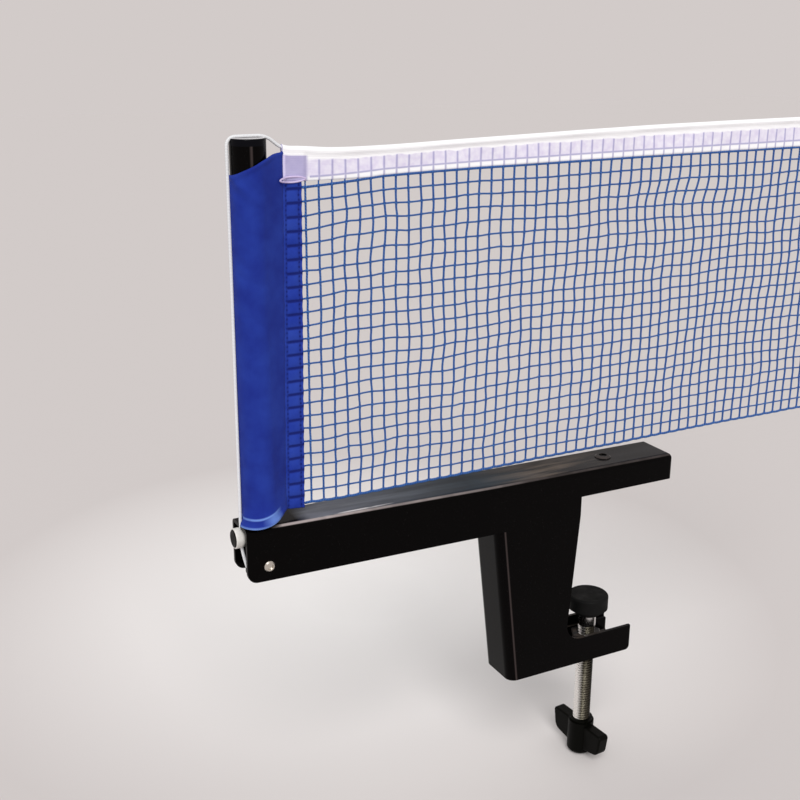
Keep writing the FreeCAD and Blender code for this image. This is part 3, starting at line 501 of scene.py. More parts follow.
def braid():
    """A braided cord, with strands that wind both ways round it."""
    made = Finish("white_braid", BRAID_WHITE, 0.6, specular=0.3, Sheen_Weight=0.1)
    round_it, along = made.thread()
    left = made.wave((round_it, BRAID_STRANDS), (along, 1.0))
    right = made.wave((round_it, BRAID_STRANDS), (along, -1.0))
    strands = made.times(left, right)
    # The grooves between the strands are painted darker: painted shade.
    made.set("Base Color", made.blend(made.rise(strands, (-0.9, 0.2)), BRAID_GROOVE_SHADE, BRAID_WHITE))
    made.raise_by(strands, 0.05)
    return made.material


BLUE, DEEP_BLUE = paint(36, 60, 156), paint(26, 44, 136)
# A paler blue for the painted highlights on the sleeve's lower folds.
SLEEVE_HIGHLIGHT_BLUE = paint(122, 158, 228)
HEM_BLUE, HEM_DEEP_BLUE = paint(44, 70, 168), paint(30, 54, 156)
BLUE_THREAD = paint(16, 26, 100)
WEAVE = 0.45


def cloth(name, colour, shade):
    """Plain woven cloth, whose map is in millimetres."""
    made = Finish(name, colour, 0.8, specular=0.12, Sheen_Weight=0.03)
    across, along = made.thread()
    weft = made.times(made.wave((across, 1 / WEAVE)), made.wave((along, 1 / WEAVE)))
    tone = made.blend(made.rise(made.noise(9.0, 3.0), (0.3, 0.7)), colour, shade)
    # The gaps in the weave are painted darker: painted shade.
    gap_shade = made.between(weft, -1.0, 0.6, 0.18, 0.0)
    made.set("Base Color", made.blend(gap_shade, tone, darker(shade, 0.5)))
    made.raise_by(weft, 0.03)
    return made


def tinted(made, share, colour):
    """The finish's material with colour laid over its base colour by share."""
    base = made.shader.inputs["Base Color"]
    made.set("Base Color", made.blend(share, base.links[0].from_socket, colour))
    return made.material


black_enamel = enamel()
zinc = rod_steel()
chrome = steel("polished_chrome", paint(200, 199, 197), 0.2)
rivet_metal = steel("rivet_steel", paint(214, 208, 198), 0.22)
rubber = plastic("black_rubber", paint(14, 14, 14), 0.7, 0.12, grain=0.2, depth=0.02)
satin_black = plastic("satin_black_plastic", paint(7, 7, 5), 0.4, 0.05)
highlit_cap = cap_plastic()
white_plastic = plastic("white_plastic", paint(232, 228, 222), 0.35)
white_braid = braid()
net_twine = twine()

FINISHES = {
    "arm_channel": black_enamel,
    "column_channel": black_enamel,
    "lower_jaw_channel": black_enamel,
    "clamp_nut": black_enamel,
    "swivel_cup": chrome,
    "pressure_pad": rubber,
    "wing_knob": satin_black,
    "jaw_pad": rubber,
    "pad_rivet": black_enamel,
    "post_tube": black_enamel,
    "post_cap": highlit_cap,
    "post_foot_plug": satin_black,
    "post_rivet": rivet_metal,
    "cord_stop": white_plastic,
    "cord_stop_plug": satin_black,
}
for node, finish in FINISHES.items():
    nodes[node].data.materials.clear()
    nodes[node].data.materials.append(finish)


# The camera, which stands where the photograph was taken.

CAMERA_PLACE = (-300.89, -379.21, 187.71)
CAMERA_YAW = -27.27
CAMERA_PITCH = -17.65
CAMERA_ROLL = 0.24
CAMERA_LENS = 52.05
CAMERA_SENSOR = 36.0


def place_camera():
    eye = bpy.data.cameras.new("camera")
    eye.lens = CAMERA_LENS
    eye.sensor_width = CAMERA_SENSOR
    eye.clip_start = 0.01
    stand = bpy.data.objects.new("camera", eye)
    turn = (
        Matrix.Rotation(radians(CAMERA_YAW), 4, "Z")
        @ Matrix.Rotation(radians(90 + CAMERA_PITCH), 4, "X")
        @ Matrix.Rotation(radians(CAMERA_ROLL), 4, "Z")
    )
    stand.matrix_world = Matrix.Translation(Vector(CAMERA_PLACE) * MM) @ turn
    bpy.context.scene.collection.objects.link(stand)
    bpy.context.scene.camera = stand


place_camera()


# The cord: the source's route, with one more point at each end of its long straight runs.

CORD_ROUTE = [
    (118.5, 0.0, 152.4),
    (30.0, 0.0, 152.0),
    (-60.0, 0.0, 149.6),
    (-128.0, 0.0, 147.5),
    (-144.6, 0.0, 149.0),
    (-151.8, 0.0, 149.2),
    (-157.1, 0.0, 154.0),
    (-164.2, 0.0, 154.0),
    (-171.5, 0.0, 154.0),
    (-171.5, 0.0, 146.8),
    (-172.0, 0.0, 9.4),
    (-172.0, 0.0, 2.2),
    (-170.9, -2.6, -3.9),
]
CORD_STEPS = 24
CORD_SIDES = 14
CORD_DIAMETER = 1.2


def spline_points(route, resolution):
    """The points of the smooth line that a route's points steer, in millimetres."""
    line = bpy.data.curves.new("route", "CURVE")
    line.dimensions = "3D"
    run = line.splines.new("NURBS")
    run.points.add(len(route) - 1)
    for point, place in zip(run.points, route):
        point.co = (*place, 1.0)
    run.order_u = 3
    run.use_endpoint_u = True
    run.resolution_u = resolution
    holder = bpy.data.objects.new("route", line)
    mesh = bpy.data.meshes.new_from_object(holder)
    points = np.array([v.co for v in mesh.vertices])
    bpy.data.meshes.remove(mesh)
    bpy.data.curves.remove(line)
    return points


cord_line = spline_points(CORD_ROUTE, CORD_STEPS)


def make_cord(line):
    shape = Shape()
    shape.tube(line, CORD_DIAMETER / 2, CORD_SIDES)
    cord = shape.piece("tension_cord_braid", white_braid)
    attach(cord, "clamp_frame")
    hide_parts("tension_cord")


make_cord(cord_line)


# The net: strands at even columns and rows, drawn out of line as real twine is.

COLUMN_PITCH = 5.1
FIRST_COLUMN = mesh_low[0] + 1.3
COLUMNS = int((mesh_high[0] - FIRST_COLUMN) / COLUMN_PITCH)
ROWS = 24
TAPE_ROW = 3.7
UPRIGHT_DIAMETER = 0.82
ROW_DIAMETER = 0.68
TOP_ROW_GROWTH = 1.35
FOOT_DIAMETER = (strand_high[1] - strand_low[1]) * 0.85
STRAND_SIDES = 8
FOOT_SIDES = 10
CELL_STEPS = np.array([0.0, 0.1, 0.32, 0.68, 0.9])
KNOT_GROWTH = 0.32
KNOT_REACH = 0.09
FOOT_KNOT_GROWTH = 0.12
FOOT_KNOT_REACH = 0.1
FOOT_KNOT_LIFT = 0.25
FOOT_LIFT_REACH = 0.2
UNDER_TAPE = 0.8
THIN_UNDER_TAPE = 0.7
INTO_HEM = 1.5
BOTTOM_HEIGHTS = {
    -145: 16.6, -133: 16.0, -112: 16.0, -87: 16.4, -49: 16.9, -8: 17.2, 48: 18.0, 118: 18.2
}
TAPE_FOOT_HEIGHTS = {
    -143: 135.7, -133: 136.3, -123: 137.0, -113: 138.0, -89: 138.7, -72: 139.0,
    4: 139.8, 90: 140.3, 118: 140.4,
}

# How fast each wave of the net runs over the columns and over the rows, and its seed.
BROAD_WAVE = (0.11, 0.13, 3.1)
LOCAL_WAVE = (0.47, 0.43, 11.7)
FINE_WAVE = (1.7, 1.9, 23.9)

# How far the broad, local and fine waves move a knot along X, along Y and along Z.
WAVES_ALONG = (1.5, 0.75, 0.16)
WAVES_OUT = (0.5, 0.15)
WAVES_UP = (1.1, 0.6, 0.22)

# The waves grow over this many rows below the tape, rows above the foot and columns from the
# hem. At the foot a share of them is left.
LOOSE_UNDER_TAPE = 2.5
LOOSE_OVER_FOOT = 3
LOOSE_FROM_HEM = 3
LOOSE_AT_FOOT = 0.25

# Where the net is pulled: x, z, shift along X, lift, and how wide and tall the pull is.
PULLS = [
    (28.0, 119.0, -2.6, -0.4, 26.0, 8.0),
    (-118.0, 122.0, 0.9, 1.2, 12.0, 9.0),
    (-90.0, 70.0, 0.8, -0.5, 30.0, 22.0),
    (60.0, 60.0, -1.0, 0.4, 28.0, 20.0),
]


def bottom_line(x):
    """Height of the net's lowest strand, which rises beside the sleeve."""
    return at_places(x, BOTTOM_HEIGHTS)


def tape_foot(x):
    """Height of the strand along the tape's lower edge."""
    return at_places(x, TAPE_FOOT_HEIGHTS)


def net_point(column, row):
    """Where the net's cloth lies at a column and row, of which whole numbers are strands."""
    column, row = np.broadcast_arrays(np.asarray(column, float), np.asarray(row, float))
    x = FIRST_COLUMN + COLUMN_PITCH * column
    z = mix(bottom_line(x), tape_foot(x), np.clip(row / ROWS, 0, 1))
    z = z + np.clip(row - ROWS, 0, None) * TAPE_ROW
    held = np.clip((ROWS - row) / LOOSE_UNDER_TAPE, 0, 1)
    held = held * np.clip(row / LOOSE_OVER_FOOT, LOOSE_AT_FOOT, 1)
    loose = held * np.clip(column / LOOSE_FROM_HEM, 0, 1)
    broad, local, fine = [
        wander(column * over_columns, row * over_rows, seed)
        for over_columns, over_rows, seed in (BROAD_WAVE, LOCAL_WAVE, FINE_WAVE)
    ]
    dx = WAVES_ALONG[0] * broad[..., 0] * loose + WAVES_ALONG[1] * local[..., 0] * loose
    dx = dx + WAVES_ALONG[2] * fine[..., 0] * held
    dz = WAVES_UP[0] * broad[..., 1] * loose + WAVES_UP[1] * local[..., 1] * held
    dz = dz + WAVES_UP[2] * fine[..., 1] * held
    dy = WAVES_OUT[0] * broad[..., 2] * loose + WAVES_OUT[1] * local[..., 2] * held
    for px, pz, shift, lift, wide, tall in PULLS:
        near = bump_at(x, px, wide) * bump_at(z, pz, tall)
        dx = dx + shift * near
        dz = dz + lift * near
    return joined(x + dx, dy, z + dz)


def knots(steps, reach):
    """1 at each crossing of strands, and 0 between them."""
    return bump_at(steps - np.round(steps), 0, reach)


def strand_radius(steps, diameter):
    """A strand's radius, which is larger at its knots."""
    return diameter / 2 * (1 + KNOT_GROWTH * knots(steps, KNOT_REACH))


def make_uprights():
    shape = Shape()
    rows = (np.arange(ROWS)[:, None] + CELL_STEPS).ravel()
    rows = np.append(rows, [ROWS, ROWS + CELL_STEPS[1], ROWS + UNDER_TAPE])
    radii = strand_radius(rows, UPRIGHT_DIAMETER) * np.where(rows > ROWS, THIN_UNDER_TAPE, 1.0)
    for column in range(COLUMNS + 1):
        shape.tube(net_point(column, rows), radii, STRAND_SIDES)
    return shape.piece("net_uprights", net_twine)


def make_net():
    uprights = make_uprights()

    across = Shape()
    left = (mesh_low[0] - INTO_HEM - FIRST_COLUMN) / COLUMN_PITCH
    columns = (np.arange(COLUMNS)[:, None] + CELL_STEPS).ravel()
    columns = np.concatenate([[left, left / 2], columns, [COLUMNS]])
    for row in range(1, ROWS + 1):
        thick = ROW_DIAMETER * (TOP_ROW_GROWTH if row == ROWS else 1)
        across.tube(net_point(columns, row), strand_radius(columns, thick), STRAND_SIDES)
    rows = across.piece("net_rows", net_twine)

    foot = Shape()
    line = net_point(columns, 0)
    line[:, 2] += FOOT_KNOT_LIFT * knots(columns, FOOT_LIFT_REACH)
    radii = FOOT_DIAMETER / 2 * (1 + FOOT_KNOT_GROWTH * knots(columns, FOOT_KNOT_REACH))
    foot.tube(line, radii, FOOT_SIDES)
    foot_strand = foot.piece("net_foot_strand", net_twine)

    for made in (uprights, rows, foot_strand):
        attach(made, "clamp_frame")
    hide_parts("net_mesh")
    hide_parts("net_bottom_cord")


make_net()


# The tape: a folded ribbon along the net's top, with the cord in its upper fold and a wrapped end.

TAB_END = tape_low[0]
TAB_START = mesh_low[0] + 0.9
TAB_TURN = 0.18
TAPE_THICKNESS = tape_high[1] - tape_low[1]
OVER_CORD = 1.05
OVER_FOOT_STRAND = 0.3
ROLL_RADIUS = 1.3
ROLL_NECK = 1.4
FLAT_HALF = 0.55
TAB_HALF = 1.15
FOOT_ROUNDING = 0.6
STRAND_RELIEF = 0.09
STRAND_WIDTH = 0.07
RELIEF_TOP = 3.4
RELIEF_FADE = 2
BILLOW_BROAD = (17, 9, 40.3, 0.45)
BILLOW_FINE = (5, 5, 47.1, 0.12)
BILLOW_ROOM = 0.2
BILLOW_FADE = 0.6
BILLOW_LEAST = 0.25
TAPE_TALL = 12.4
TAPE_STEP = 0.45
TAPE_LEVELS = 22

WHITE, LAVENDER = paint(251, 250, 252), paint(222, 214, 236)
TAPE_SHADE, TAPE_STRAND = paint(196, 196, 216), paint(146, 142, 192)
TAB_TONE, TAB_STRIP_TONE = paint(216, 207, 238), (paint(190, 183, 216), paint(176, 169, 207))
ON_NET = 0.3
UPRIGHT_EDGE = (0.03, 0.12)
ROW_EDGE = (0.15, 0.6)
ROLL_EDGE = TAPE_TALL - 3.1
TAB_TOP = (TAPE_TALL - 2.3, TAPE_TALL - 1.9)
TAB_STRIP = (-1.56, -1.46)
TAPE_RIB = 0.5

LIP_SPAN = (-153.8, -143.4)
LIP_HEIGHT = 138.8
LIP_RISE = 0.95
LIP_POINT = 0.3
LIP_OUT = 0.25
LIP_TUCK = 0.5
LIP_FLARE = 0.6
LIP_FLARE_FROM = -150.5
LIP_TURNS = 48
LIP_RADIUS = 0.34
LIP_SIDES = 8


def tape_top(x):
    """The upper fold, close over the cord in it."""
    order = np.argsort(cord_line[:, 0])
    return np.interp(x, cord_line[order, 0], cord_line[order, 2]) + OVER_CORD


def tape_bottom(x):
    """The ribbon's lower edge, level near the wrapped end."""
    return np.maximum(tape_low[2], tape_foot(x) + OVER_FOOT_STRAND)


def make_tape_material():
    """A white ribbon in which the strands show, with a denser roll on top and a wrapped end.

    Its map runs in columns of the net, and in millimetres from the strand under it, with the top
    at TAPE_TALL.
    """
    made = Finish("white_tape_ribbon", WHITE, 0.65, specular=0.2, Sheen_Weight=0.05)
    column, height = made.thread()
    ripple = made.times(made.math("SUBTRACT", made.noise(6.0, 3.0), 0.5), 2.2)
    roll = made.math("ADD", ROLL_EDGE, ripple)
    under_roll = made.rise(made.math("SUBTRACT", roll, height), (0.0, 0.5))
    on_net = made.math("GREATER_THAN", column, ON_NET)
    in_cell = made.math("FRACT", made.math("ADD", column, 0.5))
    lines = made.most(
        made.band(in_cell, 0.5, UPRIGHT_EDGE), made.band(height, TAPE_ROW, ROW_EDGE)
    )
    strands = made.times(lines, under_roll, on_net)
    cloudy = made.between(made.noise(2.6), 0.3, 0.7, 0.45, 1.0)
    above_row = made.rise(height, (TAPE_ROW - 0.2, TAPE_ROW + 0.3))
    look = made.blend(made.times(under_roll, above_row, cloudy), WHITE, LAVENDER)
    low = made.fall(height, (0.0, 2.0), 0.7)
    look = made.blend(made.times(on_net, low), look, TAPE_SHADE)
    look = made.blend(made.times(strands, 0.72), look, TAPE_STRAND)
    tab = made.times(made.fall(column, (0.0, 0.25)), made.fall(height, TAB_TOP))
    strip = made.blend(cloudy, *TAB_STRIP_TONE)
    tab_tone = made.blend(made.rise(column, TAB_STRIP), TAB_TONE, strip)
    made.set("Base Color", made.blend(tab, look, tab_tone))
    rib = made.wave((height, 1 / TAPE_RIB))
    made.raise_by(made.math("ADD", made.times(rib, 0.4), made.times(strands, 1.5)), 0.03)
    return made.material


def billow(x, z, kind):
    """How far the ribbon sways to the back: how long and tall the waves are, seed and depth."""
    long, tall, seed, depth = kind
    return wander(x / long, z / tall, seed)[..., 1] * depth


def make_tape():
    x = np.arange(TAB_END, tape_high[0] + TAPE_STEP / 2, TAPE_STEP)[:, None]
    column = (x - FIRST_COLUMN) / COLUMN_PITCH
    top = tape_top(x)
    foot = tape_bottom(x)
    z = foot + (top - foot) * (1 - np.cos(np.linspace(0, pi, TAPE_LEVELS))) / 2
    tab = 1 - 1 / (1 + np.exp(-(x - TAB_START) / TAB_TURN))
    roll = np.sqrt(np.clip(ROLL_RADIUS**2 - (z - (top - ROLL_RADIUS)) ** 2, 0, None))
    edge = 1 - np.clip((z - foot) / FOOT_ROUNDING, 0, 1)
    body = mix(FLAT_HALF, TAB_HALF, tab) * np.sqrt(np.clip(1 - edge**2, 0, 1))
    body = body * np.clip((top - ROLL_RADIUS - z) / ROLL_NECK, 0, 1) ** 0.5
    relief = STRAND_RELIEF * knots(column, STRAND_WIDTH) * (1 - tab)
    relief = relief * np.clip((top - RELIEF_TOP - z) / RELIEF_FADE, 0, 1)
    half = np.maximum(roll, body) + relief
    room = (TAPE_THICKNESS / 2 + BILLOW_ROOM - half) / BILLOW_FADE
    sway = billow(x, z, BILLOW_BROAD) + billow(x, z, BILLOW_FINE)
    sway = sway * np.clip(room, BILLOW_LEAST, 1)
    points = two_sided(x, sway - half, sway + half, z)
    strand = tape_foot(x)
    height = (there_and_back(z) - strand) * TAPE_TALL / (top - strand)
    maps = joined(column, height)
    shape = Shape()
    shape.rod(points[:, ::-1], maps[:, ::-1])
    tape = shape.piece("net_tape_ribbon", make_tape_material())
    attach(tape, "clamp_frame")
    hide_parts("net_top_tape")
    return tape


def make_lips():
    """The two almond folds at the foot of the wrapped end, one on each side."""
    shape = Shape()
    turn = np.linspace(0, 2 * pi, LIP_TURNS, endpoint=False)
    middle, reach = np.mean(LIP_SPAN), (LIP_SPAN[1] - LIP_SPAN[0]) / 2
    x = middle + reach * np.cos(turn)
    z = LIP_HEIGHT + LIP_RISE * np.sin(turn) * np.abs(np.sin(turn)) ** LIP_POINT
    out = TAB_HALF + LIP_OUT - LIP_TUCK * np.clip(np.cos(turn), 0, 1)
    out = out + LIP_FLARE * np.clip(LIP_FLARE_FROM - x, 0, None)
    for side in (-1, 1):
        shape.loop(joined(x, side * out, z), LIP_RADIUS, LIP_SIDES)
    fold = cloth("lavender_tape_fold", paint(226, 208, 240), paint(206, 190, 228))
    lips = shape.piece("tape_end_lips", fold.material)
    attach(lips, "clamp_frame")
    return lips


tape_lips = make_lips()
tape_piece = make_tape()


# The sleeve: cloth round the post, drawn together at a quilted hem.

SLEEVE_RADIUS = (sleeve_high[1] - sleeve_low[1]) / 2
SEAM_TOP = hem_high[0] - 6.3
SEAM_BOTTOM = hem_high[0] - 8.8
SLEEVE_CLOTH = 0.4
SLEEVE_ROWS = 150
SLEEVE_FLAT = 18
SLEEVE_ROUND = 72
FOLD_ROW = 5.0
SLEEVE_TOP_HEIGHTS = {
    -171: 141.3, -168: 143.1, -166: 144.1, -163: 145.6, -159: 147.3, -157: 148.0,
    -153.6: 148.4, -151.5: 149.0,
}
BACK_RIM_DROP = 2.6
BACK_RIM_TURN = 1.6
BOTTOM_RISE_FROM = -168.0
BOTTOM_RISE_LONG = 14.0
OVER_ARM = 0.75
OVER_HEM_FOOT = 0.2
PLAIN_HEIGHT = 80.0

# The folds: how many go round the sleeve, how tall they are, their seed, which of the three
# directions of the noise is used, and how deep they are.
LONG_FOLDS = (5.2, 85, 60.5, 0, 0.45)
SOFT_FOLDS = (9.0, 16, 71.2, 1, 0.24)
CREASES = (6.0, 3.4, 83.3, 2, 0.1)

# Slanted creases, which are deeper near the upper edge.
SLANT_ROUND, SLANT_UP = (0.06, 0.05), (0.30, -0.22)
SLANT_SEED = 95.1
SLANT_DEPTH, SLANT_TOP_DEPTH, SLANT_TOP_REACH = 0.12, 0.5, 14
SEAM_REACH = 4.0
QUILT_DEPTH, QUILT_REACH = 0.22, 2.6
PINCH_DEPTH, PINCH_REACH = 0.75, 1.3
CORD_GROOVE = 0.22
BELL_FROM = 0.45
BELL_LEAST, BELL_FRONT, BELL_TALL, BELL_POWER = 0.6, 3.2, 4.2, 1.5
FOOT_CREASE_DEPTH, FOOT_CREASE_AT, FOOT_CREASE_REACH, FOOT_CREASE_LEAST = 0.8, 2.0, 0.6, 0.2
FOOT_LIP_DEPTH, FOOT_LIP_AT, FOOT_LIP_REACH = 0.35, 0.3, 0.7
RIM_BEAD, RIM_BEAD_AT, RIM_BEAD_REACH = 0.3, 0.9, 0.6
RIM_GROOVE, RIM_GROOVE_AT, RIM_GROOVE_REACH = 0.28, 2.6, 0.8
DEEPEST_FOLD = -0.15
OFF_POST = 0.02

HEM_HALF = (hem_high[1] - hem_low[1]) / 2
HEM_WIDTH = 8.6
HEM_TUCK = 2.0
HEM_EDGE_DRIFT = 1.6
HEM_SCALLOP, HEM_SCALLOP_TURN = 0.1, 0.6
HEM_OVER_TAPE = 1.2
HEM_STEP = 0.32
HEM_COLUMNS = 40
HEM_FLAT = 0.6
HEM_DROP, HEM_DROP_MORE, HEM_DROP_REACH = 0.5, 1.0, 5
HEM_RUFFLE, HEM_RUFFLE_SIZE, HEM_RUFFLE_SEED = 0.14, 3, 90.9
HEM_EDGE_POWER = 10
PILLOW, PILLOW_REACH = 0.45, 1.2
ROW_SHIFT = 1.0
STITCH_LEFT = 2.3
STITCH_RIGHT = 7.2
STITCH_LONG = 1.7


def seam_x(z):
    """Where the sleeve's two sides are sewn together."""
    share = np.clip((z - hem_low[2]) / (sleeve_high[2] - hem_low[2]), 0, 1)
    return mix(SEAM_BOTTOM, SEAM_TOP, share)


def sleeve_top(x):
    """The slanting upper edge, lowest on the post's outer side."""
    return at_places(x, SLEEVE_TOP_HEIGHTS)


def sleeve_bottom(x):
    """The lower edge, which rests on the arm and rises to the hem."""
    rise = np.clip((x - BOTTOM_RISE_FROM) / BOTTOM_RISE_LONG, 0, 1)
    return mix(ARM_TOP + OVER_ARM, hem_low[2] + OVER_HEM_FOOT, smooth(rise))


def sleeve_plan(share, z):
    """The place in plan at a share of the way from the hem's front round the post to its back.

    It gives the place, the way that it faces, the length from the hem's front, that length for
    the whole way, and the angle round the post.
    """
    seam = seam_x(z)
    lean = np.arccos((SLEEVE_RADIUS - HEM_HALF) / (seam - POST_X))
    flat_long = (seam - POST_X) * np.sin(lean)
    round_long = SLEEVE_RADIUS * (2 * pi - 2 * lean)
    whole = 2 * flat_long + round_long
    run = share * whole
    angle = lean + np.clip(run - flat_long, 0, round_long) / SLEEVE_RADIUS
    before = np.clip(flat_long - run, 0, None)
    after = np.clip(run - flat_long - round_long, 0, None)
    outward = joined(np.cos(angle), -np.sin(angle))
    x = POST_X + SLEEVE_RADIUS * outward[..., 0] + (before + after) * np.sin(lean)
    y = SLEEVE_RADIUS * outward[..., 1] + (before - after) * np.cos(lean)
    return joined(x, y), outward, run, whole, angle


def folds(share, z, kind):
    """How far one kind of fold lifts the sleeve's cloth."""
    turns, tall, seed, direction, depth = kind
    return wander(share * turns, z / tall, seed)[..., direction] * depth


def sleeve_relief(share, z, low, high, run, whole, angle):
    """How far the cloth stands off its plain shape."""
    from_seam = np.minimum(run, whole - run)
    above, under = z - low, high - z
    long_folds = folds(share, z, LONG_FOLDS)
    soft = folds(share, z, SOFT_FOLDS)
    creases = folds(share, z, CREASES)
    slanted = wander(
        run * SLANT_ROUND[0] + z * SLANT_ROUND[1], z * SLANT_UP[0] + run * SLANT_UP[1], SLANT_SEED
    )[..., 0]
    slanted = slanted * (SLANT_DEPTH + SLANT_TOP_DEPTH * np.exp(-under / SLANT_TOP_REACH))
    rows = np.cos(2 * pi * (z - hem_low[2]) / FOLD_ROW)
    quilt = -QUILT_DEPTH * rows * np.exp(-from_seam / QUILT_REACH)
    pinch = -PINCH_DEPTH * bump_at(from_seam, 0, PINCH_REACH)

    off_seam = 1 - np.exp(-from_seam / SEAM_REACH)
    front = np.clip(np.sin(angle - BELL_FROM), 0, 1)
    bell = (BELL_LEAST + BELL_FRONT * front) * np.exp(-((above / BELL_TALL) ** BELL_POWER))
    crease = -FOOT_CREASE_DEPTH * bump_at(above, FOOT_CREASE_AT, FOOT_CREASE_REACH)
    crease = crease * (FOOT_CREASE_LEAST + front)
    lip = FOOT_LIP_DEPTH * bump_at(above, FOOT_LIP_AT, FOOT_LIP_REACH)
    foot = (bell + crease + lip) * off_seam
    rim = RIM_BEAD * bump_at(under, RIM_BEAD_AT, RIM_BEAD_REACH)
    rim = rim - RIM_GROOVE * bump_at(under, RIM_GROOVE_AT, RIM_GROOVE_REACH)
    out = long_folds + soft + creases + slanted + quilt + foot + rim
    at_cord = bump_at(angle, pi, CORD_GROOVE)
    return np.clip(out, DEEPEST_FOLD, None) * (1 - at_cord) + pinch + OFF_POST


def sleeve_finish():
    """The sleeve's cloth, with painted highlights along its lower edge and on the fold over it."""
    made = cloth("blue_sleeve_cloth", BLUE, DEEP_BLUE)
    run, above = made.thread()
    rim = made.fall(above, (0.2, 0.8), 0.8)
    fold = made.band(above, 2.9, (0.1, 0.6), 0.8)
    flap = made.times(made.fall(above, (2.6, 3.0), 0.7), made.fall(run, (11.0, 15.0)))
    front = made.times(made.rise(run, (6.5, 10.0)), made.fall(run, (23.0, 29.0)))
    patchy = made.between(made.noise(6.0), 0.3, 0.6, 0.6, 1.0)
    return tinted(made, made.times(made.most(rim, fold, flap), front, patchy), SLEEVE_HIGHLIGHT_BLUE)


def make_sleeve():
    share = np.linspace(0, 1, 2 * SLEEVE_FLAT + SLEEVE_ROUND + 1)[None, :]
    level = np.linspace(0, 1, SLEEVE_ROWS)[:, None]
    place, *_, angle = sleeve_plan(share, np.full_like(share, PLAIN_HEIGHT))
    low = sleeve_bottom(place[..., 0])
    high = sleeve_top(place[..., 0])
    high = high - BACK_RIM_DROP * np.clip(-np.sin(angle) * BACK_RIM_TURN, 0, 1)
    z = mix(low, high, level)
    share = np.broadcast_to(share, z.shape)
    place, outward, run, whole, angle = sleeve_plan(share, z)
    out = sleeve_relief(share, z, low, high, run, whole, angle)
    place = place + outward * out[..., None]
    points = joined(place[..., 0], place[..., 1], z)
    maps = joined(run, z - low)
    shape = Shape()
    shape.grid(points[:, ::-1], maps[:, ::-1])
    sleeve = shape.piece("net_sleeve_cloth", sleeve_finish())
    skin = sleeve.modifiers.new("cloth", "SOLIDIFY")
    skin.thickness = SLEEVE_CLOTH * MM
    skin.offset = -1
    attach(sleeve, "clamp_frame")
    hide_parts("net_sleeve")
    return sleeve


def hem_edge(z):
    """The hem's inner edge, scalloped a little by the net's rows."""
    share = np.clip((z - hem_low[2]) / (tape_low[2] - hem_low[2]), 0, 1)
    scallop = HEM_SCALLOP * np.sin(2 * pi * z / FOLD_ROW + HEM_SCALLOP_TURN)
    return hem_high[0] - HEM_EDGE_DRIFT * (1 - share) + scallop


def hem_finish():
    """The hem's cloth, sewn down along two lines, with the net's rows pressing through it."""
    made = cloth("blue_hem_cloth", HEM_BLUE, HEM_DEEP_BLUE)
    across, height = made.thread()
    row = made.math("ABSOLUTE", made.wave((height, 0.5 / FOLD_ROW)))
    past_left = made.rise(across, (STITCH_LEFT - 0.6, STITCH_LEFT + 0.4))
    rows = made.times(made.fall(row, (0.18, 0.5), 0.9), past_left)
    left = made.band(across, STITCH_LEFT, (0.15, 0.5), 0.8)
    right = made.band(across, STITCH_RIGHT, (0.15, 0.6), 0.9)
    sewn = made.between(made.wave((height, 1 / STITCH_LONG)), -0.2, 0.6, 0.45, 1.0)
    return tinted(made, made.most(rows, made.times(made.most(left, right), sewn)), BLUE_THREAD)


def make_hem():
    """The doubled strip beside the sleeve, whose left edge is tucked in between its two sides."""
    z = np.arange(hem_low[2], tape_low[2] + HEM_OVER_TAPE, HEM_STEP)[:, None]
    share = np.linspace(0, 1, HEM_COLUMNS)[None, :]
    x = mix(seam_x(z) - HEM_TUCK, hem_edge(z), share)
    across = share * HEM_WIDTH
    drop = (HEM_DROP + HEM_DROP_MORE * share) * np.exp(-(z - hem_low[2]) / HEM_DROP_REACH)
    cell = np.abs(np.sin(pi * (z - hem_low[2] + ROW_SHIFT) / FOLD_ROW)) ** 0.6
    sewn = np.minimum(np.abs(across - STITCH_LEFT), np.abs(across - STITCH_RIGHT))
    pillow = PILLOW * cell * np.clip(sewn / PILLOW_REACH, 0, 1) ** 0.7
    ends = np.sqrt(np.clip(1 - (2 * share - 1) ** HEM_EDGE_POWER, 0, 1))
    ruffle = wander(x / HEM_RUFFLE_SIZE, z / HEM_RUFFLE_SIZE, HEM_RUFFLE_SEED)[..., 1] * HEM_RUFFLE
    half = (HEM_HALF * HEM_FLAT + pillow + ruffle) * ends
    shape = Shape()
    shape.rod(
        two_sided(x, -half, half, z - drop),
        joined(there_and_back(across), z - hem_low[2] + ROW_SHIFT),
    )
    hem = shape.piece("sleeve_hem_quilt", hem_finish())
    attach(hem, "clamp_frame")
    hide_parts("sleeve_hem")
    return hem


hem_piece = make_hem()
sleeve_piece = make_sleeve()


# The screw: a rolled thread in place of the plain rod.

THREAD_PITCH = 1.25
THREAD_DEPTH = 0.7
THREAD_CREST = 1.6
THREAD_SLOPE = 2.4
THREAD_ROWS = 8
THREAD_SIDES = 40
SCREW_CHAMFER = 0.8


def make_screw():
    z = np.arange(screw_low[2], screw_high[2] + 1e-6, THREAD_PITCH / THREAD_ROWS)[:, None]
    turn = np.linspace(0, 1, THREAD_SIDES, endpoint=False)[None, :]
    phase = (z / THREAD_PITCH - turn) % 1.0
    ridge = np.clip(THREAD_CREST - np.abs(2 * phase - 1) * THREAD_SLOPE, 0, 1)
    radius = SCREW_RADIUS - THREAD_DEPTH * (1 - ridge)
    from_end = np.minimum(z - screw_low[2], screw_high[2] - z)
    radius = np.minimum(radius, SCREW_RADIUS - SCREW_CHAMFER + from_end)
    angle = 2 * pi * turn
    shape = Shape()
    shape.rod(
        joined(SCREW_X + radius * np.cos(angle), radius * np.sin(angle), z),
        joined(np.linspace(0, 1, THREAD_SIDES + 1)[None, :], z),
    )
    screw = shape.piece("threaded_rod", zinc)
    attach(screw, "screw")
    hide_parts("clamp_screw")


make_screw()


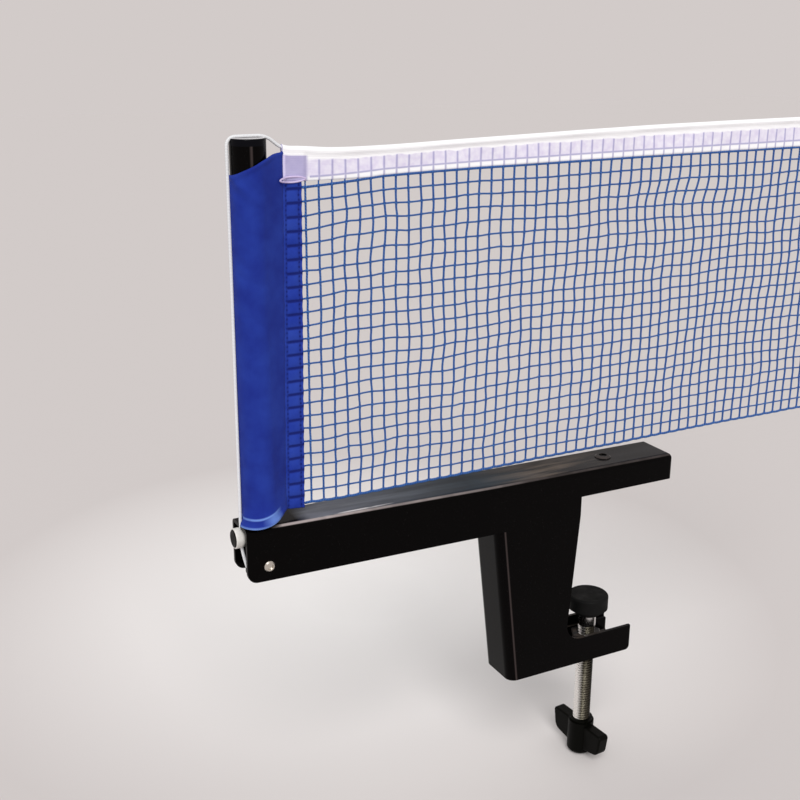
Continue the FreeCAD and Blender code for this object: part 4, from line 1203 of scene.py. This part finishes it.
# The studio: a pale floor that the knob just clears, and a plain even light.

FLOOR_DROP = 0.6
FLOOR_SIDE = 9000.0
FLOOR_COLOUR = paint(210, 203, 201)
# A painted pool of light on the floor, where the clamp's shadow falls.
FLOOR_LIGHT_POOL = paint(252, 248, 246)
LIGHT_POOL_MIDDLE = (-30.0, 190.0, -134.4)
LIGHT_POOL_SPAN = (40.0, 240.0)
SUN_FROM = (-0.35, -0.75, 0.75)
SUN_STRENGTH = 2.1
SUN_ANGLE = 0.6
AIR_COLOUR = (1.0, 1.0, 1.0, 1.0)
AIR_STRENGTH = 0.55


def make_floor():
    """A plain floor, with a painted pool of light behind the clamp's foot that lightens the shadow
    there.
    """
    mesh = bpy.data.meshes.new("floor")
    side = FLOOR_SIDE * MM / 2
    height = cad_low.z - FLOOR_DROP * MM
    corners = [(-side, -side), (side, -side), (side, side), (-side, side)]
    mesh.from_pydata([(x, y, height) for x, y in corners], [], [(0, 1, 2, 3)])
    floor = bpy.data.objects.new("floor", mesh)
    paper = Finish("floor_paper", FLOOR_COLOUR, 0.95, specular=0.05)
    sockets = {0: paper.place, 1: metres(LIGHT_POOL_MIDDLE)}
    away = paper.add("VectorMath", sockets, operation="DISTANCE").outputs["Value"]
    past_light_pool = paper.rise(away, metres(LIGHT_POOL_SPAN))
    paper.set("Base Color", paper.blend(past_light_pool, FLOOR_LIGHT_POOL, FLOOR_COLOUR))
    mesh.materials.append(paper.material)
    bpy.context.scene.collection.objects.link(floor)


def light_world():
    """A sky that lights the part a little, but that shows with the floor's colour."""
    world = bpy.data.worlds.new("studio")
    bpy.context.scene.world = world
    world.use_nodes = True
    tree = world.node_tree
    air = tree.nodes["Background"]
    shown = tree.nodes.new("ShaderNodeBackground")
    air.inputs["Color"].default_value = AIR_COLOUR
    air.inputs["Strength"].default_value = AIR_STRENGTH
    shown.inputs["Color"].default_value = FLOOR_COLOUR
    ray = tree.nodes.new("ShaderNodeLightPath").outputs
    seen = ray["Is Camera Ray"]
    for kind in ("Is Glossy Ray", "Is Transmission Ray"):
        either = tree.nodes.new("ShaderNodeMath")
        either.operation = "MAXIMUM"
        tree.links.new(seen, either.inputs[0])
        tree.links.new(ray[kind], either.inputs[1])
        seen = either.outputs[0]
    mixed = tree.nodes.new("ShaderNodeMixShader")
    for socket, source in zip(mixed.inputs, (seen, air.outputs[0], shown.outputs[0])):
        tree.links.new(source, socket)
    tree.links.new(mixed.outputs[0], tree.nodes["World Output"].inputs["Surface"])


def hang_sun():
    """A broad sun, from over the camera's side."""
    lamp = bpy.data.lights.new("sun", "SUN")
    lamp.energy = SUN_STRENGTH
    lamp.angle = SUN_ANGLE
    holder = bpy.data.objects.new("sun", lamp)
    holder.matrix_world = Vector(SUN_FROM).to_track_quat("Z", "Y").to_matrix().to_4x4()
    bpy.context.scene.collection.objects.link(holder)


make_floor()
light_world()
hang_sun()
bpy.context.scene.view_settings.view_transform = "Standard"
